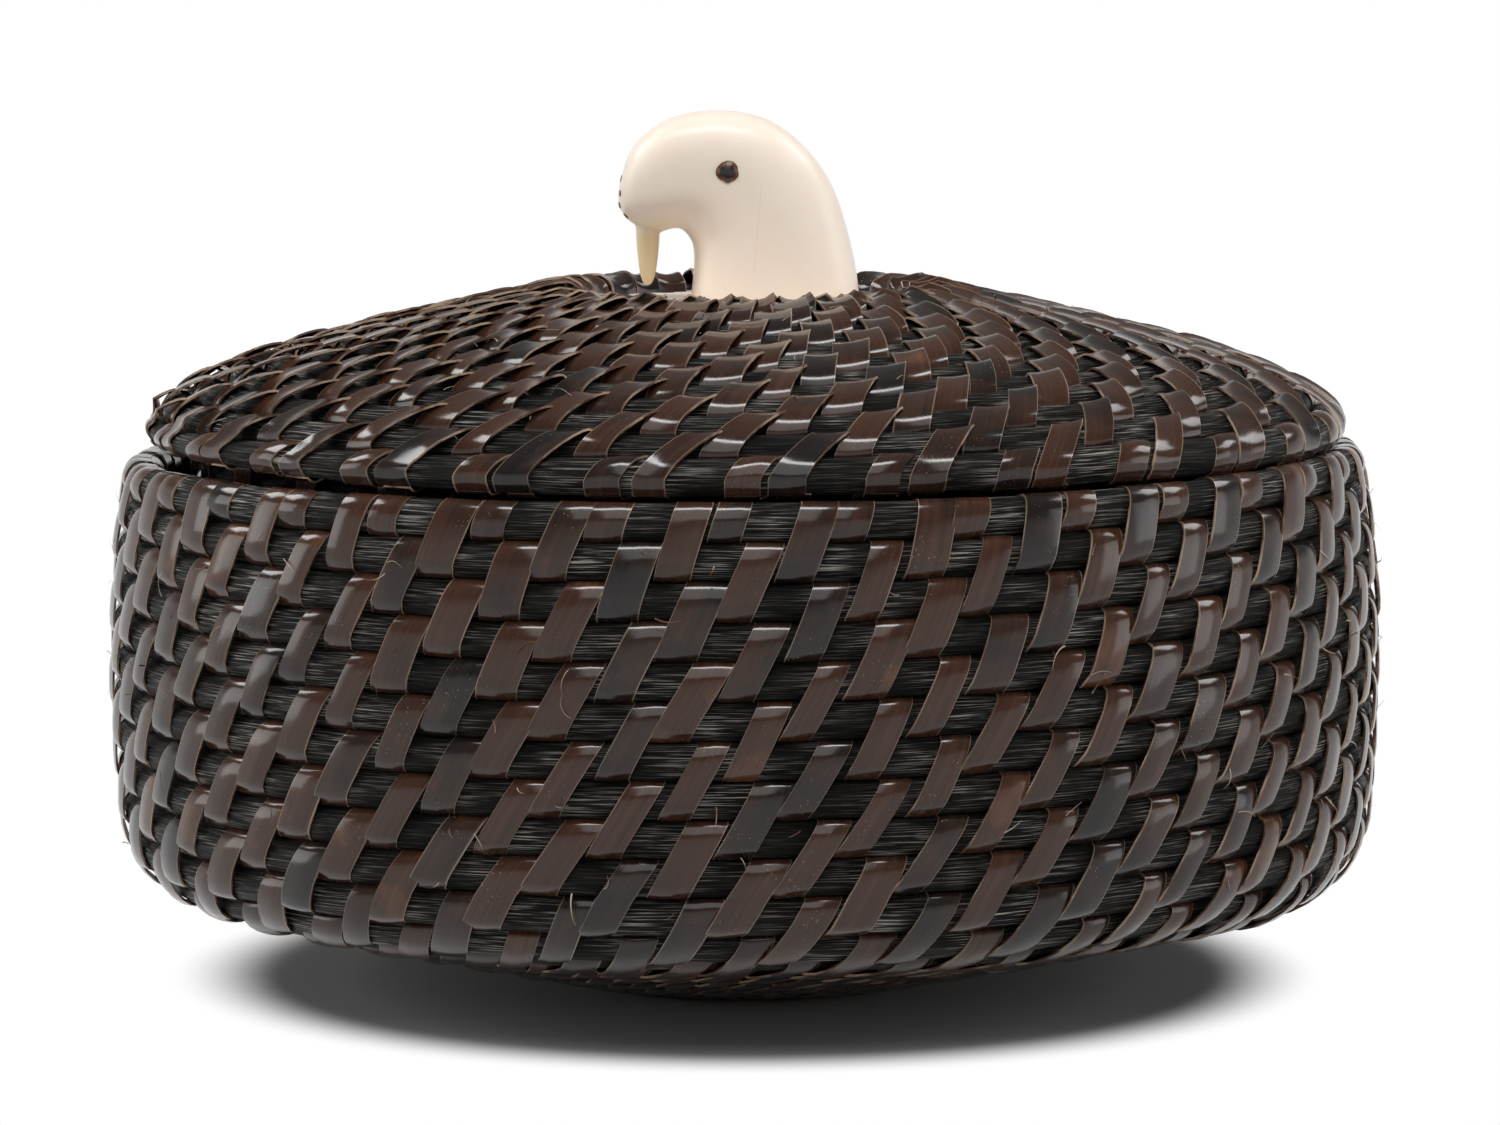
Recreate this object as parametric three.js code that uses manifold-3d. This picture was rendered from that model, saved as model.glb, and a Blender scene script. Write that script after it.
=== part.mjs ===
// A lidded coiled basket: one rod wound in a spiral from a bone-coloured base disc up to the rim,
// a domed lid wound the same way, and a carved walrus head pegged to the lid's disc as its knob.
// Millimetres, +Z up, origin at the centre of the base disc's underside, the head facing -X.
import * as THREE from 'three';
import { mergeVertices } from 'three/addons/utils/BufferGeometryUtils.js';
import Module from 'manifold-3d';

const wasm = await Module();
wasm.setup();

const fullTurn = 2 * Math.PI;
const degree = Math.PI / 180;

// Coiled rod and the splints that sew it
const rodHeight = 2.5;
const rodDepth = 2.9;
const splintThickness = 0.35;
const splintGap = 0.3;
const seatGap = 0.3;
const splintLayer = splintThickness + splintGap;
const rowPitch = rodHeight + splintThickness + 2 * splintGap;
const splintWidth = 3.2;
const tuckedWidth = splintWidth - 2 * splintGap;
const slantShare = 0.27;
const splintsAcrossStitch = 3;
const splintedTurns = 8;
const startTaperTurns = 0.5;
const endTaperTurns = 0.15;
const thinnestShare = 0.31;

// Basket
const baseDiscRadius = 17;
const baseDiscThickness = 2.4;
const widestRadius = 58.5;
const wallCurveRadius = 135;
const wallFootLean = 6 * degree;
const cornerRadius = 6.5;
const undersideSlope = 13.5 * degree;
const footClearance = 0.1;
const rimHeight = 50.55;
const rimEndAzimuth = 90 * degree;
const wallSteps = 24;
const baseSteps = 18;

// Lid
const lidDiscRadius = 17.2;
const lidDiscThickness = 2.1;
const lidCoilRise = 0.45;
const lidInset = 0.09;
const lidEdgeRise = 1.44;
const lidStartSlope = 10 * degree;
const lidShoulderSlope = 16 * degree;
const lidEdgeSlope = 36 * degree;
const lidEdgeCurveRadius = 36.3;
const lidEndAzimuth = 150 * degree;
const lidSteps = 18;
const searchSteps = 12;
const flangeClearance = 0.5;
const flangeTurns = 2;
const flangeDrop = 3.9;

// Perforated edge of both discs
const perforationCount = 18;
const perforationRadius = 0.9;
const perforationMargin = 1.8;
const discSides = 36;

// Walrus head knob
const headLength = 23;
const headHeight = 17.9;
const headDepth = 12;
const headBack = 10.9;
const headSections = 15;
const headSides = 18;
const tuskSpacing = 3.8;
const tuskLength = 5.6;
const tuskRootDiameter = 2.3;
const tuskSides = 8;
const tuskRootDepth = 1.5;
const eyeRadius = 1;
const eyeDepth = 1.6;
const plugGap = 0.12;
const whiskerRadius = 0.3;
const whiskerDepth = 1.2;
const pegRadius = 1.2;
const pegSpacing = 8;
const pegHeadRadius = 1.9;
const pegHeadThickness = 0.8;
const pegReach = 5;
const pegSides = 8;
const holeSides = 6;
const plugSides = 10;
const overrun = 1;

const footLengthShare = 0.7;
const headSectionShares = [
  [[0, 0], [0.7, 0], 0.98],
  [[0.015, 0.16], [0.687, 0.145], 0.97],
  [[0.05, 0.36], [0.69, 0.285], 0.96],
  [[0.107, 0.58], [0.727, 0.362], 0.95],
  [[0.204, 0.775], [0.75, 0.374], 0.94],
  [[0.365, 0.942], [0.77, 0.375], 0.93],
  [[0.56, 1], [0.796, 0.366], 0.92],
  [[0.757, 0.972], [0.823, 0.355], 0.9],
  [[0.887, 0.878], [0.865, 0.36], 0.86],
  [[0.952, 0.778], [0.917, 0.386], 0.77],
  [[0.985, 0.65], [0.968, 0.43], 0.58],
  [[0.999, 0.57], [0.996, 0.49], 0.25],
];
const tuskRootShares = [0.876, 0.386];
const tuskShares = [[0, 1], [0.3, 0.92], [0.6, 0.78], [0.85, 0.52], [1, 0.16]];
const eyeShares = [0.5565, 0.676];
const whiskerShares = [[0.64, 0.3], [0.565, 0.44], [0.5, 0.3], [0.445, 0.42]];

const ivory = new THREE.MeshStandardMaterial({ color: 0xede0cf, roughness: 0.35, metalness: 0 });
const baleenRod = new THREE.MeshStandardMaterial({ color: 0x1d1a18, roughness: 0.6, metalness: 0 });
const baleenSplint = new THREE.MeshStandardMaterial({ color: 0x35241c, roughness: 0.3, metalness: 0 });
const baleenPlug = new THREE.MeshStandardMaterial({ color: 0x2a1c14, roughness: 0.4, metalness: 0 });

const part = new THREE.Group();
const basket = new THREE.Group();
const lid = new THREE.Group();
part.add(basket, lid);

function addPiece(group, name, geometry, material) {
  const mesh = new THREE.Mesh(geometry, material);
  mesh.name = name;
  group.add(mesh);
  return mesh;
}

// Closed bodies from points and triangles, and their joins and cuts
function closedGeometry(points, triangles) {
  let volume = 0;
  for (const [a, b, c] of triangles) {
    const cross = new THREE.Vector3().crossVectors(points[b], points[c]);
    volume += points[a].dot(cross);
  }
  const outward = volume > 0 ? triangles : triangles.map(([a, b, c]) => [a, c, b]);
  const geometry = new THREE.BufferGeometry().setFromPoints(points);
  geometry.setIndex(outward.flat());
  geometry.computeVertexNormals();
  return geometry;
}

function loft(rings) {
  const sides = rings[0].length;
  const points = rings.flat();
  const triangles = [];
  for (let ring = 0; ring + 1 < rings.length; ring += 1) {
    for (let side = 0; side < sides; side += 1) {
      const next = (side + 1) % sides;
      const here = ring * sides;
      const there = here + sides;
      triangles.push([here + side, here + next, there + next]);
      triangles.push([here + side, there + next, there + side]);
    }
  }
  const last = (rings.length - 1) * sides;
  for (let side = 1; side + 1 < sides; side += 1) {
    triangles.push([0, side + 1, side]);
    triangles.push([last, last + side, last + side + 1]);
  }
  return closedGeometry(points, triangles);
}

function toSolid(geometry) {
  const bare = geometry.clone();
  bare.deleteAttribute('normal');
  bare.deleteAttribute('uv');
  const merged = mergeVertices(bare);
  const vertProperties = new Float32Array(merged.attributes.position.array);
  const triVerts = new Uint32Array(merged.index.array);
  return new wasm.Manifold(new wasm.Mesh({ numProp: 3, vertProperties, triVerts }));
}

function toGeometry(solid) {
  const mesh = solid.getMesh();
  const geometry = new THREE.BufferGeometry();
  geometry.setAttribute('position', new THREE.BufferAttribute(mesh.vertProperties, mesh.numProp));
  geometry.setIndex(new THREE.BufferAttribute(mesh.triVerts, 1));
  geometry.computeVertexNormals();
  return geometry;
}

// Meridians: chains of arcs in the half plane of radius and height, each with one curvature
function alongArc(arc, distance) {
  const direction = arc.direction + distance * arc.curvature;
  if (arc.curvature === 0) {
    return {
      radius: arc.radius + distance * Math.cos(direction),
      height: arc.height + distance * Math.sin(direction),
      direction,
    };
  }
  return {
    radius: arc.radius + (Math.sin(direction) - Math.sin(arc.direction)) / arc.curvature,
    height: arc.height - (Math.cos(direction) - Math.cos(arc.direction)) / arc.curvature,
    direction,
  };
}

function meridian(start, bends) {
  const arcs = [];
  let here = start;
  let length = 0;
  for (const bend of bends) {
    const arc = { ...here, curvature: bend.curvature, begin: length };
    arcs.push(arc);
    here = alongArc(arc, bend.length);
    length += bend.length;
  }
  const at = (distance) => {
    const arc = arcs.findLast((candidate) => candidate.begin <= distance) ?? arcs[0];
    return alongArc(arc, distance - arc.begin);
  };
  return { length, at };
}

// Basket's meridian: straight underside, round corner, wall bowed out to the widest radius
const baseCoilRadius = baseDiscRadius + seatGap + rodHeight / 2;
const baseCoilHeight = rodDepth / 2 + splintLayer + footClearance;
const wallFootAngle = fullTurn / 4 - wallFootLean;
const wallFootRadius = widestRadius - wallCurveRadius * (1 - Math.cos(wallFootLean));
const cornerReach = cornerRadius * (Math.sin(wallFootAngle) - Math.sin(undersideSlope));
const undersideLength = (wallFootRadius - baseCoilRadius - cornerReach) / Math.cos(undersideSlope);
const cornerLength = cornerRadius * (wallFootAngle - undersideSlope);
const cornerClimb = cornerRadius * (Math.cos(undersideSlope) - Math.cos(wallFootAngle));
const wallFootHeight = baseCoilHeight + undersideLength * Math.sin(undersideSlope) + cornerClimb;
const wallTopShare = (rimHeight - wallFootHeight) / wallCurveRadius;
const wallTopAngle = Math.acos(Math.cos(wallFootAngle) - wallTopShare);
const wallLength = wallCurveRadius * (wallTopAngle - wallFootAngle);
const basketMeridian = meridian(
  { radius: baseCoilRadius, height: baseCoilHeight, direction: undersideSlope },
  [
    { length: undersideLength, curvature: 0 },
    { length: cornerLength, curvature: 1 / cornerRadius },
    { length: wallLength, curvature: 1 / wallCurveRadius },
  ],
);

// Lid's meridian: a shallow dome that bends down faster towards its edge, which ends on the rim
const rim = basketMeridian.at(basketMeridian.length);
const lidCoilRadius = lidDiscRadius + seatGap + rodHeight / 2;
const lidEdgeReach = lidEdgeCurveRadius * (Math.sin(lidEdgeSlope) - Math.sin(lidShoulderSlope));
const lidEdgeDrop = lidEdgeCurveRadius * (Math.cos(lidShoulderSlope) - Math.cos(lidEdgeSlope));
const lidEdgeLength = lidEdgeCurveRadius * (lidEdgeSlope - lidShoulderSlope);
const lidDomeReach = rim.radius - lidInset - lidEdgeReach - lidCoilRadius;
const lidDomeCurveRadius = lidDomeReach / (Math.sin(lidShoulderSlope) - Math.sin(lidStartSlope));
const lidDomeDrop = lidDomeCurveRadius * (Math.cos(lidStartSlope) - Math.cos(lidShoulderSlope));
const lidDomeLength = lidDomeCurveRadius * (lidShoulderSlope - lidStartSlope);
const lidCoilHeight = rim.height + lidEdgeRise + lidEdgeDrop + lidDomeDrop;
const lidDiscTop = lidCoilHeight - lidCoilRise + lidDiscThickness / 2;
const lidMeridian = meridian(
  { radius: lidCoilRadius, height: lidCoilHeight, direction: -lidStartSlope },
  [
    { length: lidDomeLength, curvature: -1 / lidDomeCurveRadius },
    { length: lidEdgeLength, curvature: -1 / lidEdgeCurveRadius },
  ],
);

function lidHeightAt(radius) {
  let inner = 0;
  let outer = lidMeridian.length;
  for (let step = 0; step < searchSteps; step += 1) {
    const middle = (inner + outer) / 2;
    if (lidMeridian.at(middle).radius < radius) {
      inner = middle;
    } else {
      outer = middle;
    }
  }
  return lidMeridian.at(inner).height;
}

// Coils: the winding sense is +1 where the rod runs counter-clockwise outward, seen from above
const basketTurns = basketMeridian.length / rowPitch;
const lidTurns = lidMeridian.length / rowPitch;
const basketCoil = {
  path: basketMeridian,
  turns: basketTurns,
  sense: 1,
  outerSide: -1,
  azimuthAtEnd: rimEndAzimuth,
};
const lidCoil = {
  path: lidMeridian,
  turns: lidTurns,
  sense: -1,
  outerSide: 1,
  azimuthAtEnd: lidEndAzimuth,
};

// Frame of the rod's centre line after so many turns: its middle, the way along the meridian,
// and the way out of the basket's or lid's face
function coilFrame(coil, turns, distance = turns * rowPitch) {
  const { radius, height, direction } = coil.path.at(distance);
  const azimuth = coil.azimuthAtEnd + coil.sense * (turns - coil.turns) * fullTurn;
  const radial = new THREE.Vector3(Math.cos(azimuth), Math.sin(azimuth), 0);
  const up = new THREE.Vector3(0, 0, 1);
  const centre = radial.clone().multiplyScalar(radius).addScaledVector(up, height);
  const along = radial.clone().multiplyScalar(Math.cos(direction)).addScaledVector(up, Math.sin(direction));
  const outX = -coil.outerSide * Math.sin(direction);
  const outZ = coil.outerSide * Math.cos(direction);
  const out = radial.clone().multiplyScalar(outX).addScaledVector(up, outZ);
  const onward = new THREE.Vector3(-radial.y, radial.x, 0).multiplyScalar(coil.sense);
  return { centre, along, out, onward };
}

const rodCornerShares = [[0, 1], [1, 0.5], [1, -0.5], [0, -1], [-1, -0.5], [-1, 0.5]];

function rodRing(frame, { size, lean }) {
  return rodCornerShares.map(([alongShare, outShare]) => {
    const alongPart = (alongShare * size + lean) * rodHeight / 2;
    const outPart = outShare * size * rodDepth / 2;
    return frame.centre.clone().addScaledVector(frame.along, alongPart).addScaledVector(frame.out, outPart);
  });
}

// The rod thins at both ends: at the start it keeps to the next loop and clears the disc, and at
// the outer end it stays down on the loop before
function rodSize(coil, turns) {
  const startTaper = Math.max(0, -turns / startTaperTurns);
  const endTaper = Math.max(0, 1 - (coil.turns - turns) / endTaperTurns);
  const size = 1 - (1 - thinnestShare) * Math.max(startTaper, endTaper);
  const lean = startTaper > 0 ? 1 - size : size - 1;
  return { size, lean };
}

function coilRings(coil, fromTurn, toTurn, stepsPerTurn) {
  const steps = Math.ceil((toTurn - fromTurn) * stepsPerTurn);
  const rings = [];
  for (let step = 0; step <= steps; step += 1) {
    const turns = fromTurn + (toTurn - fromTurn) * step / steps;
    rings.push(rodRing(coilFrame(coil, turns), rodSize(coil, turns)));
  }
  return rings;
}

// Least gap of a coil to its own next loop, over the corners of rings about one turn apart
function leastGap(rings, stepsPerTurn) {
  let least = Infinity;
  for (let ring = 0; ring < rings.length; ring += 1) {
    const nextLoop = rings.slice(ring + stepsPerTurn - 1, ring + stepsPerTurn + 2);
    for (const corner of rings[ring]) {
      for (const other of nextLoop.flat()) {
        least = Math.min(least, corner.distanceTo(other));
      }
    }
  }
  return least;
}

function addCoil(group, name, coil, fromTurn, toTurn, stepsPerTurn) {
  const rings = coilRings(coil, fromTurn, toTurn, stepsPerTurn);
  console.log(`${name}: least gap between loops ${leastGap(rings, stepsPerTurn).toFixed(2)} mm`);
  addPiece(group, name, loft(rings), baleenRod);
}

// Splints: a flat strip winds round the rod and the loop before it, slanting down over the outside,
// through the gap below, and up the inside to the next stitch. Each gap between loops holds three
// strips side by side a stitch, which sets the stitches' number and each loop's shift.
const rowShiftShare = slantShare / 2 + 1 / splintsAcrossStitch;
const stitchRoom = splintsAcrossStitch * (splintWidth + splintGap);
const stitchesPerTurn = Math.floor(fullTurn * widestRadius / stitchRoom) - rowShiftShare;

function sagitta(angle) {
  return widestRadius * (1 - Math.cos(angle / 2));
}

const outerFace = rodDepth / 2 + splintGap + splintThickness / 2;
const nearFace = outerFace + sagitta(fullTurn / wallSteps);
const stitchSpan = fullTurn * (1 + slantShare) / stitchesPerTurn;
const farFace = nearFace + splintThickness + splintGap + sagitta(stitchSpan);
const farFaceSag = sagitta(stitchSpan + tuckedWidth / widestRadius);

// A strip's section where it turns a corner of its winding, between the last and the next face
function splintRing(coil, turns, distance, facing, width) {
  const { centre, along, out, onward } = coilFrame(coil, turns, distance);
  const corner = (alongPart, outPart, widthShare) => centre.clone()
    .addScaledVector(along, alongPart)
    .addScaledVector(out, outPart)
    .addScaledVector(onward, widthShare * width / 2);
  const half = splintThickness / 2;
  const far = facing.out + Math.sign(facing.out) * half;
  const near = facing.out - Math.sign(facing.out) * half;
  return [
    corner(facing.along * half, far, -1),
    corner(facing.along * half, far, 1),
    corner(-facing.along * half, near, 0),
  ];
}

function splintRun(coil, firstStitch, lastStitch, liesNear) {
  const rings = [];
  const innerFace = liesNear ? -nearFace : -farFace;
  for (let stitch = firstStitch; stitch <= lastStitch; stitch += 1) {
    const turns = stitch / stitchesPerTurn;
    const slant = slantShare / stitchesPerTurn;
    const { size } = rodSize(coil, turns);
    const top = turns * rowPitch + (size - 1) * rodHeight + rowPitch / 2;
    const bottom = (turns - slant - 1) * rowPitch - rowPitch / 2;
    if (liesNear && stitch > firstStitch) {
      const middle = (turns - slant / 2) * rowPitch - rowPitch / 2;
      rings.push(splintRing(coil, turns - slant / 2, middle, { along: 0, out: innerFace }, tuckedWidth));
    }
    rings.push(splintRing(coil, turns, top, { along: 1, out: innerFace }, tuckedWidth));
    rings.push(splintRing(coil, turns, top, { along: 1, out: outerFace }, splintWidth));
    rings.push(splintRing(coil, turns - slant, bottom, { along: -1, out: outerFace }, splintWidth));
    rings.push(splintRing(coil, turns - slant, bottom, { along: -1, out: innerFace }, tuckedWidth));
  }
  return loft(rings);
}

function addSplints(group, coil) {
  const lastStitch = Math.floor(coil.turns * stitchesPerTurn);
  for (let course = 0; course < splintedTurns; course += 1) {
    const first = Math.ceil((coil.turns - course - 1) * stitchesPerTurn);
    const last = Math.min(lastStitch, Math.ceil((coil.turns - course) * stitchesPerTurn) - 1);
    const name = `wall_splints_${String(course + 1).padStart(2, '0')}`;
    addPiece(group, name, splintRun(coil, first, last, course % 2 === 0), baleenSplint);
  }
}

const undersideTurns = undersideLength / rowPitch;
const spliceTurns = splintGap / (fullTurn * wallFootRadius);
addCoil(basket, 'base_coil', basketCoil, -startTaperTurns, undersideTurns, baseSteps);
addCoil(basket, 'wall_coil', basketCoil, undersideTurns + spliceTurns, basketTurns, wallSteps);
addCoil(lid, 'lid_coil', lidCoil, -startTaperTurns, lidTurns, lidSteps);

// Flange: two more turns sewn under the lid, which drop into the basket's mouth and keep it centred
addSplints(basket, basketCoil);
const innermostFace = farFace + farFaceSag + splintThickness / 2;
const mouthRadius = rim.radius - innermostFace;
const flangeRadius = mouthRadius - flangeClearance - rodDepth / 2;
const flangeCoil = {
  path: meridian(
    { radius: flangeRadius, height: lidHeightAt(flangeRadius) - flangeDrop, direction: -fullTurn / 4 },
    [{ length: flangeTurns * rowPitch, curvature: 0 }],
  ),
  turns: flangeTurns,
  sense: lidCoil.sense,
  outerSide: lidCoil.outerSide,
  azimuthAtEnd: lidEndAzimuth,
};
addCoil(lid, 'lid_flange_coil', flangeCoil, 0, flangeTurns, wallSteps);

// Discs sawn flat, with a ring of holes for the first row of splints
function upright(geometry) {
  return geometry.rotateX(fullTurn / 4);
}

function roundBar(radius, bottom, top, sides, x = 0, y = 0) {
  const bar = upright(new THREE.CylinderGeometry(radius, radius, top - bottom, sides));
  return bar.translate(x, y, (bottom + top) / 2);
}

function perforatedDisc(radius, bottom, thickness) {
  let disc = toSolid(roundBar(radius, bottom, bottom + thickness, discSides));
  for (let hole = 0; hole < perforationCount; hole += 1) {
    const azimuth = fullTurn * hole / perforationCount;
    const x = (radius - perforationMargin) * Math.cos(azimuth);
    const y = (radius - perforationMargin) * Math.sin(azimuth);
    const drill = roundBar(perforationRadius, bottom - overrun, bottom + thickness + overrun, holeSides, x, y);
    disc = disc.subtract(toSolid(drill));
  }
  return disc;
}

const lidDiscBottom = lidDiscTop - lidDiscThickness;
const headBase = lidDiscTop + seatGap;
const headMiddle = headBack - footLengthShare * headLength / 2;
const pegPlaces = [
  ['finial_peg_front', headMiddle - pegSpacing / 2],
  ['finial_peg_back', headMiddle + pegSpacing / 2],
];

function pegHole(x, top) {
  return toSolid(roundBar(pegRadius + plugGap, lidDiscBottom - overrun, top, pegSides, x));
}

const baseDisc = perforatedDisc(baseDiscRadius, 0, baseDiscThickness);
addPiece(basket, 'base_disc', toGeometry(baseDisc), ivory);
let lidDisc = perforatedDisc(lidDiscRadius, lidDiscBottom, lidDiscThickness);
for (const [name, x] of pegPlaces) {
  lidDisc = lidDisc.subtract(pegHole(x, lidDiscTop + overrun));
  const shankTop = headBase + pegReach;
  const headTop = lidDiscBottom - plugGap;
  const headBottom = headTop - pegHeadThickness;
  const profile = [
    [0, headBottom], [pegHeadRadius, headBottom], [pegHeadRadius, headTop],
    [pegRadius, headTop], [pegRadius, shankTop], [0, shankTop],
  ];
  const outline = profile.map(([radius, height]) => new THREE.Vector2(radius, height));
  const peg = upright(new THREE.LatheGeometry(outline, pegSides)).translate(x, 0, 0);
  addPiece(lid, name, toGeometry(toSolid(peg)), ivory);
}
addPiece(lid, 'lid_disc', toGeometry(lidDisc), ivory);

// Walrus head: oval sections fanned from the neck over the brow to the muzzle. Each row of shares
// gives a section's outer end and its throat end, both from the back of the base forwards as a
// share of the head's length and upwards as a share of its height, and its share of the depth.
function headPoint([forwardShare, upShare]) {
  return new THREE.Vector3(headBack - forwardShare * headLength, 0, headBase + upShare * headHeight);
}

function headCurve(column) {
  const points = headSectionShares.map((row) => headPoint(row[column]));
  return new THREE.CatmullRomCurve3(points);
}

function headLoft() {
  const outer = headCurve(0);
  const throat = headCurve(1);
  const depths = headSectionShares.map((row) => new THREE.Vector3(row[2], 0, 0));
  const depthCurve = new THREE.CatmullRomCurve3(depths);
  const rings = [];
  for (let section = 0; section <= headSections; section += 1) {
    const place = section / headSections;
    const outerEnd = outer.getPoint(place);
    const throatEnd = throat.getPoint(place);
    const middle = outerEnd.clone().add(throatEnd).divideScalar(2);
    const reach = outerEnd.clone().sub(throatEnd).divideScalar(2);
    const halfDepth = depthCurve.getPoint(place).x * headDepth / 2;
    const ring = [];
    for (let side = 0; side < headSides; side += 1) {
      const angle = fullTurn * side / headSides;
      const point = middle.clone().addScaledVector(reach, Math.cos(angle));
      point.y = halfDepth * Math.sin(angle);
      ring.push(point);
    }
    rings.push(ring);
  }
  return loft(rings);
}

function tusk(side) {
  const root = headPoint(tuskRootShares);
  const rings = tuskShares.map(([downShare, widthShare]) => {
    const ring = [];
    for (let corner = 0; corner < tuskSides; corner += 1) {
      const angle = fullTurn * corner / tuskSides;
      const radius = widthShare * tuskRootDiameter / 2;
      const x = root.x + radius * Math.cos(angle);
      const y = side * tuskSpacing / 2 + radius * Math.sin(angle);
      ring.push(new THREE.Vector3(x, y, root.z - downShare * tuskLength));
    }
    return ring;
  });
  const buried = rings[0].map((point) => point.clone().setZ(root.z + tuskRootDepth));
  return loft([buried, ...rings]);
}

let head = toSolid(headLoft());
for (const side of [-1, 1]) {
  head = head.add(toSolid(tusk(side)));
}
const carvedHead = head;
const headMesh = new THREE.Mesh(toGeometry(carvedHead), ivory);

function surfacePoint(from, towards) {
  const ray = new THREE.Raycaster(from, towards.clone().normalize());
  return ray.intersectObject(headMesh)[0].point;
}

// An inlaid plug fills a drilled hole and is filed flush with the carved face
function inlay(name, from, towards, radius, depth) {
  const mouth = surfacePoint(from, towards);
  const drill = (drillRadius, drillDepth) => {
    const bar = new THREE.CylinderGeometry(drillRadius, drillRadius, drillDepth + overrun, plugSides);
    bar.translate(0, (drillDepth - overrun) / 2, 0);
    const turn = new THREE.Quaternion().setFromUnitVectors(new THREE.Vector3(0, 1, 0), towards);
    return toSolid(bar.applyQuaternion(turn).translate(mouth.x, mouth.y, mouth.z));
  };
  head = head.subtract(drill(radius + plugGap, depth + plugGap));
  addPiece(lid, name, toGeometry(carvedHead.intersect(drill(radius, depth))), baleenPlug);
}

const farOff = headLength * 2;
const forward = new THREE.Vector3(-1, 0, 0);
for (const [sideName, side] of [['left', -1], ['right', 1]]) {
  const inward = new THREE.Vector3(0, -side, 0);
  const eye = headPoint(eyeShares);
  eye.y = side * farOff;
  inlay(`eye_${sideName}`, eye, inward, eyeRadius, eyeDepth);
  whiskerShares.forEach(([upShare, asideShare], index) => {
    const place = headPoint([0, upShare]);
    place.addScaledVector(forward, farOff);
    place.y = side * asideShare * headDepth / 2;
    inlay(`whisker_pin_${sideName}_${index + 1}`, place, forward.clone().negate(), whiskerRadius, whiskerDepth);
  });
}
for (const [, x] of pegPlaces) {
  head = head.subtract(pegHole(x, headBase + pegReach + plugGap));
}
addPiece(lid, 'walrus_head', toGeometry(head), ivory);

export default part;
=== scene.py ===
"""Looks of a lidded basket coiled from rod and flat splints, with a carved walrus head on its lid."""
import math
import random

import bmesh
import bpy
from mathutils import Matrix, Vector, noise


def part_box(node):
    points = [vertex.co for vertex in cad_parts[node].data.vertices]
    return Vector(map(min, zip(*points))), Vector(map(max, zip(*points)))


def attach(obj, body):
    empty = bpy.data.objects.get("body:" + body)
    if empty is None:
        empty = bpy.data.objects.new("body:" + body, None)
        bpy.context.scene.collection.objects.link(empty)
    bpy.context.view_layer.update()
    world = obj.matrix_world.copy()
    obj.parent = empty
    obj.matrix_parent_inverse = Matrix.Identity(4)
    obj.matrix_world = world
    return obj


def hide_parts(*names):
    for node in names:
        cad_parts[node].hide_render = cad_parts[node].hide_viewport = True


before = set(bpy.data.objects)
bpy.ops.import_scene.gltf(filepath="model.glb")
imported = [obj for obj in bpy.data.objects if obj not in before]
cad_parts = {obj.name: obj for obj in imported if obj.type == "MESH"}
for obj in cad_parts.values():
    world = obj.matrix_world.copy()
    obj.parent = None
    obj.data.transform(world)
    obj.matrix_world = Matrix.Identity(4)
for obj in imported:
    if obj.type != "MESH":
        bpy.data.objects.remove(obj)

bl_info = {
    "name": "Coiled basket",
    "version": (1, 0, 0),
    "blender": (4, 5, 0),
    "location": "View3D > Sidebar > Basket",
    "description": "Builds a coiled and sewn basket, its lid and its carved knob",
    "category": "Add Mesh",
}

TAU = 2 * math.pi

# Gap between two loops of the CAD's rod
CAD_ROW_GAP = 0.00095
# Half the side of a grid of unit size, which named sizes then scale
UNIT_HALF = 0.5
# How close the vertices of a rod's seam lie to be merged, as a share of a face
SEAM_SHARE = 0.02

# How many strips share a gap. How wide a strip may be on the outside, as shares of the spacing:
# side by side with others, and where it crosses between two. How wide it is on the inside, as a
# share of that
STRIPS_IN_A_GAP = 3
CLOSE_SHARE = 0.92
CROSSING_SHARE = 0.72
INNER_WIDTH_SHARE = 0.85
# Exponents by which the lean grows, towards the foot of the wall and the lid's edge
WALL_SLANT_EASE = 0.6
LID_SLANT_EASE = 2

# Distances in rows. A stitch's foot lies this far below the centre of its own rod, and its lean
# starts so far above it. The lean and the bow each take so many rows
HALF_ROW = 0.5
STITCH_FOOT_ROWS = 1.5
LEAN_START_ROWS = 0.44
LEAN_RUN_ROWS = 1.88
BOW_RUN_ROWS = 1.6

# How far out a strip that ends in a disc comes, in half depths of a rod
FULL_DEPTH_SHARE = 1.02

# How far the random draws of a stitch go, as shares of what each one changes
SLANT_DRAW_SHARES = (-0.06, 0.06)
WIDTH_DRAW_SHARES = (0.80, 1.12)
WRAP_WIDTH_DRAW_SHARES = (0.85, 1.0)
JOG_DRAW_SHARES = (-3.5, 3.5)
LIFT_DRAW_SHARES = (0.5, 1.5)
TWIST_DRAW_SHARES = (0.3, 1.7)

# What starts the random draws of each sewn piece
SEWING_SEEDS = {
    "underside_splints": 11,
    "wall_splints": 12,
    "rim_wraps": 13,
    "lid_splints": 21,
    "lid_edge_wraps": 22,
    "flange_splints": 23,
}

# The rows at which the first loop's stitches end in a disc, and the turn of the flange's first stitch
BASE_DISC_EDGE = -0.7
LID_DISC_EDGE = -0.97
FLANGE_FIRST_STITCH = 0.5

# A frayed sliver: its faces, how far its random draws go, and how much it thins to its tip
FRAY_STEPS = 7
FRAY_LENGTH_DRAW_SHARES = (0.4, 1.3)
FRAY_WIDTH_DRAW_SHARES = (0.5, 1.3)
FRAY_BEND_DRAW = (-0.9, 0.9)
FRAY_RISE_DRAW_SHARES = (0.05, 0.35)
FRAY_ROWS_DRAW = (-0.4, 0.4)
FRAY_TAPER_SHARE = 0.8
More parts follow.
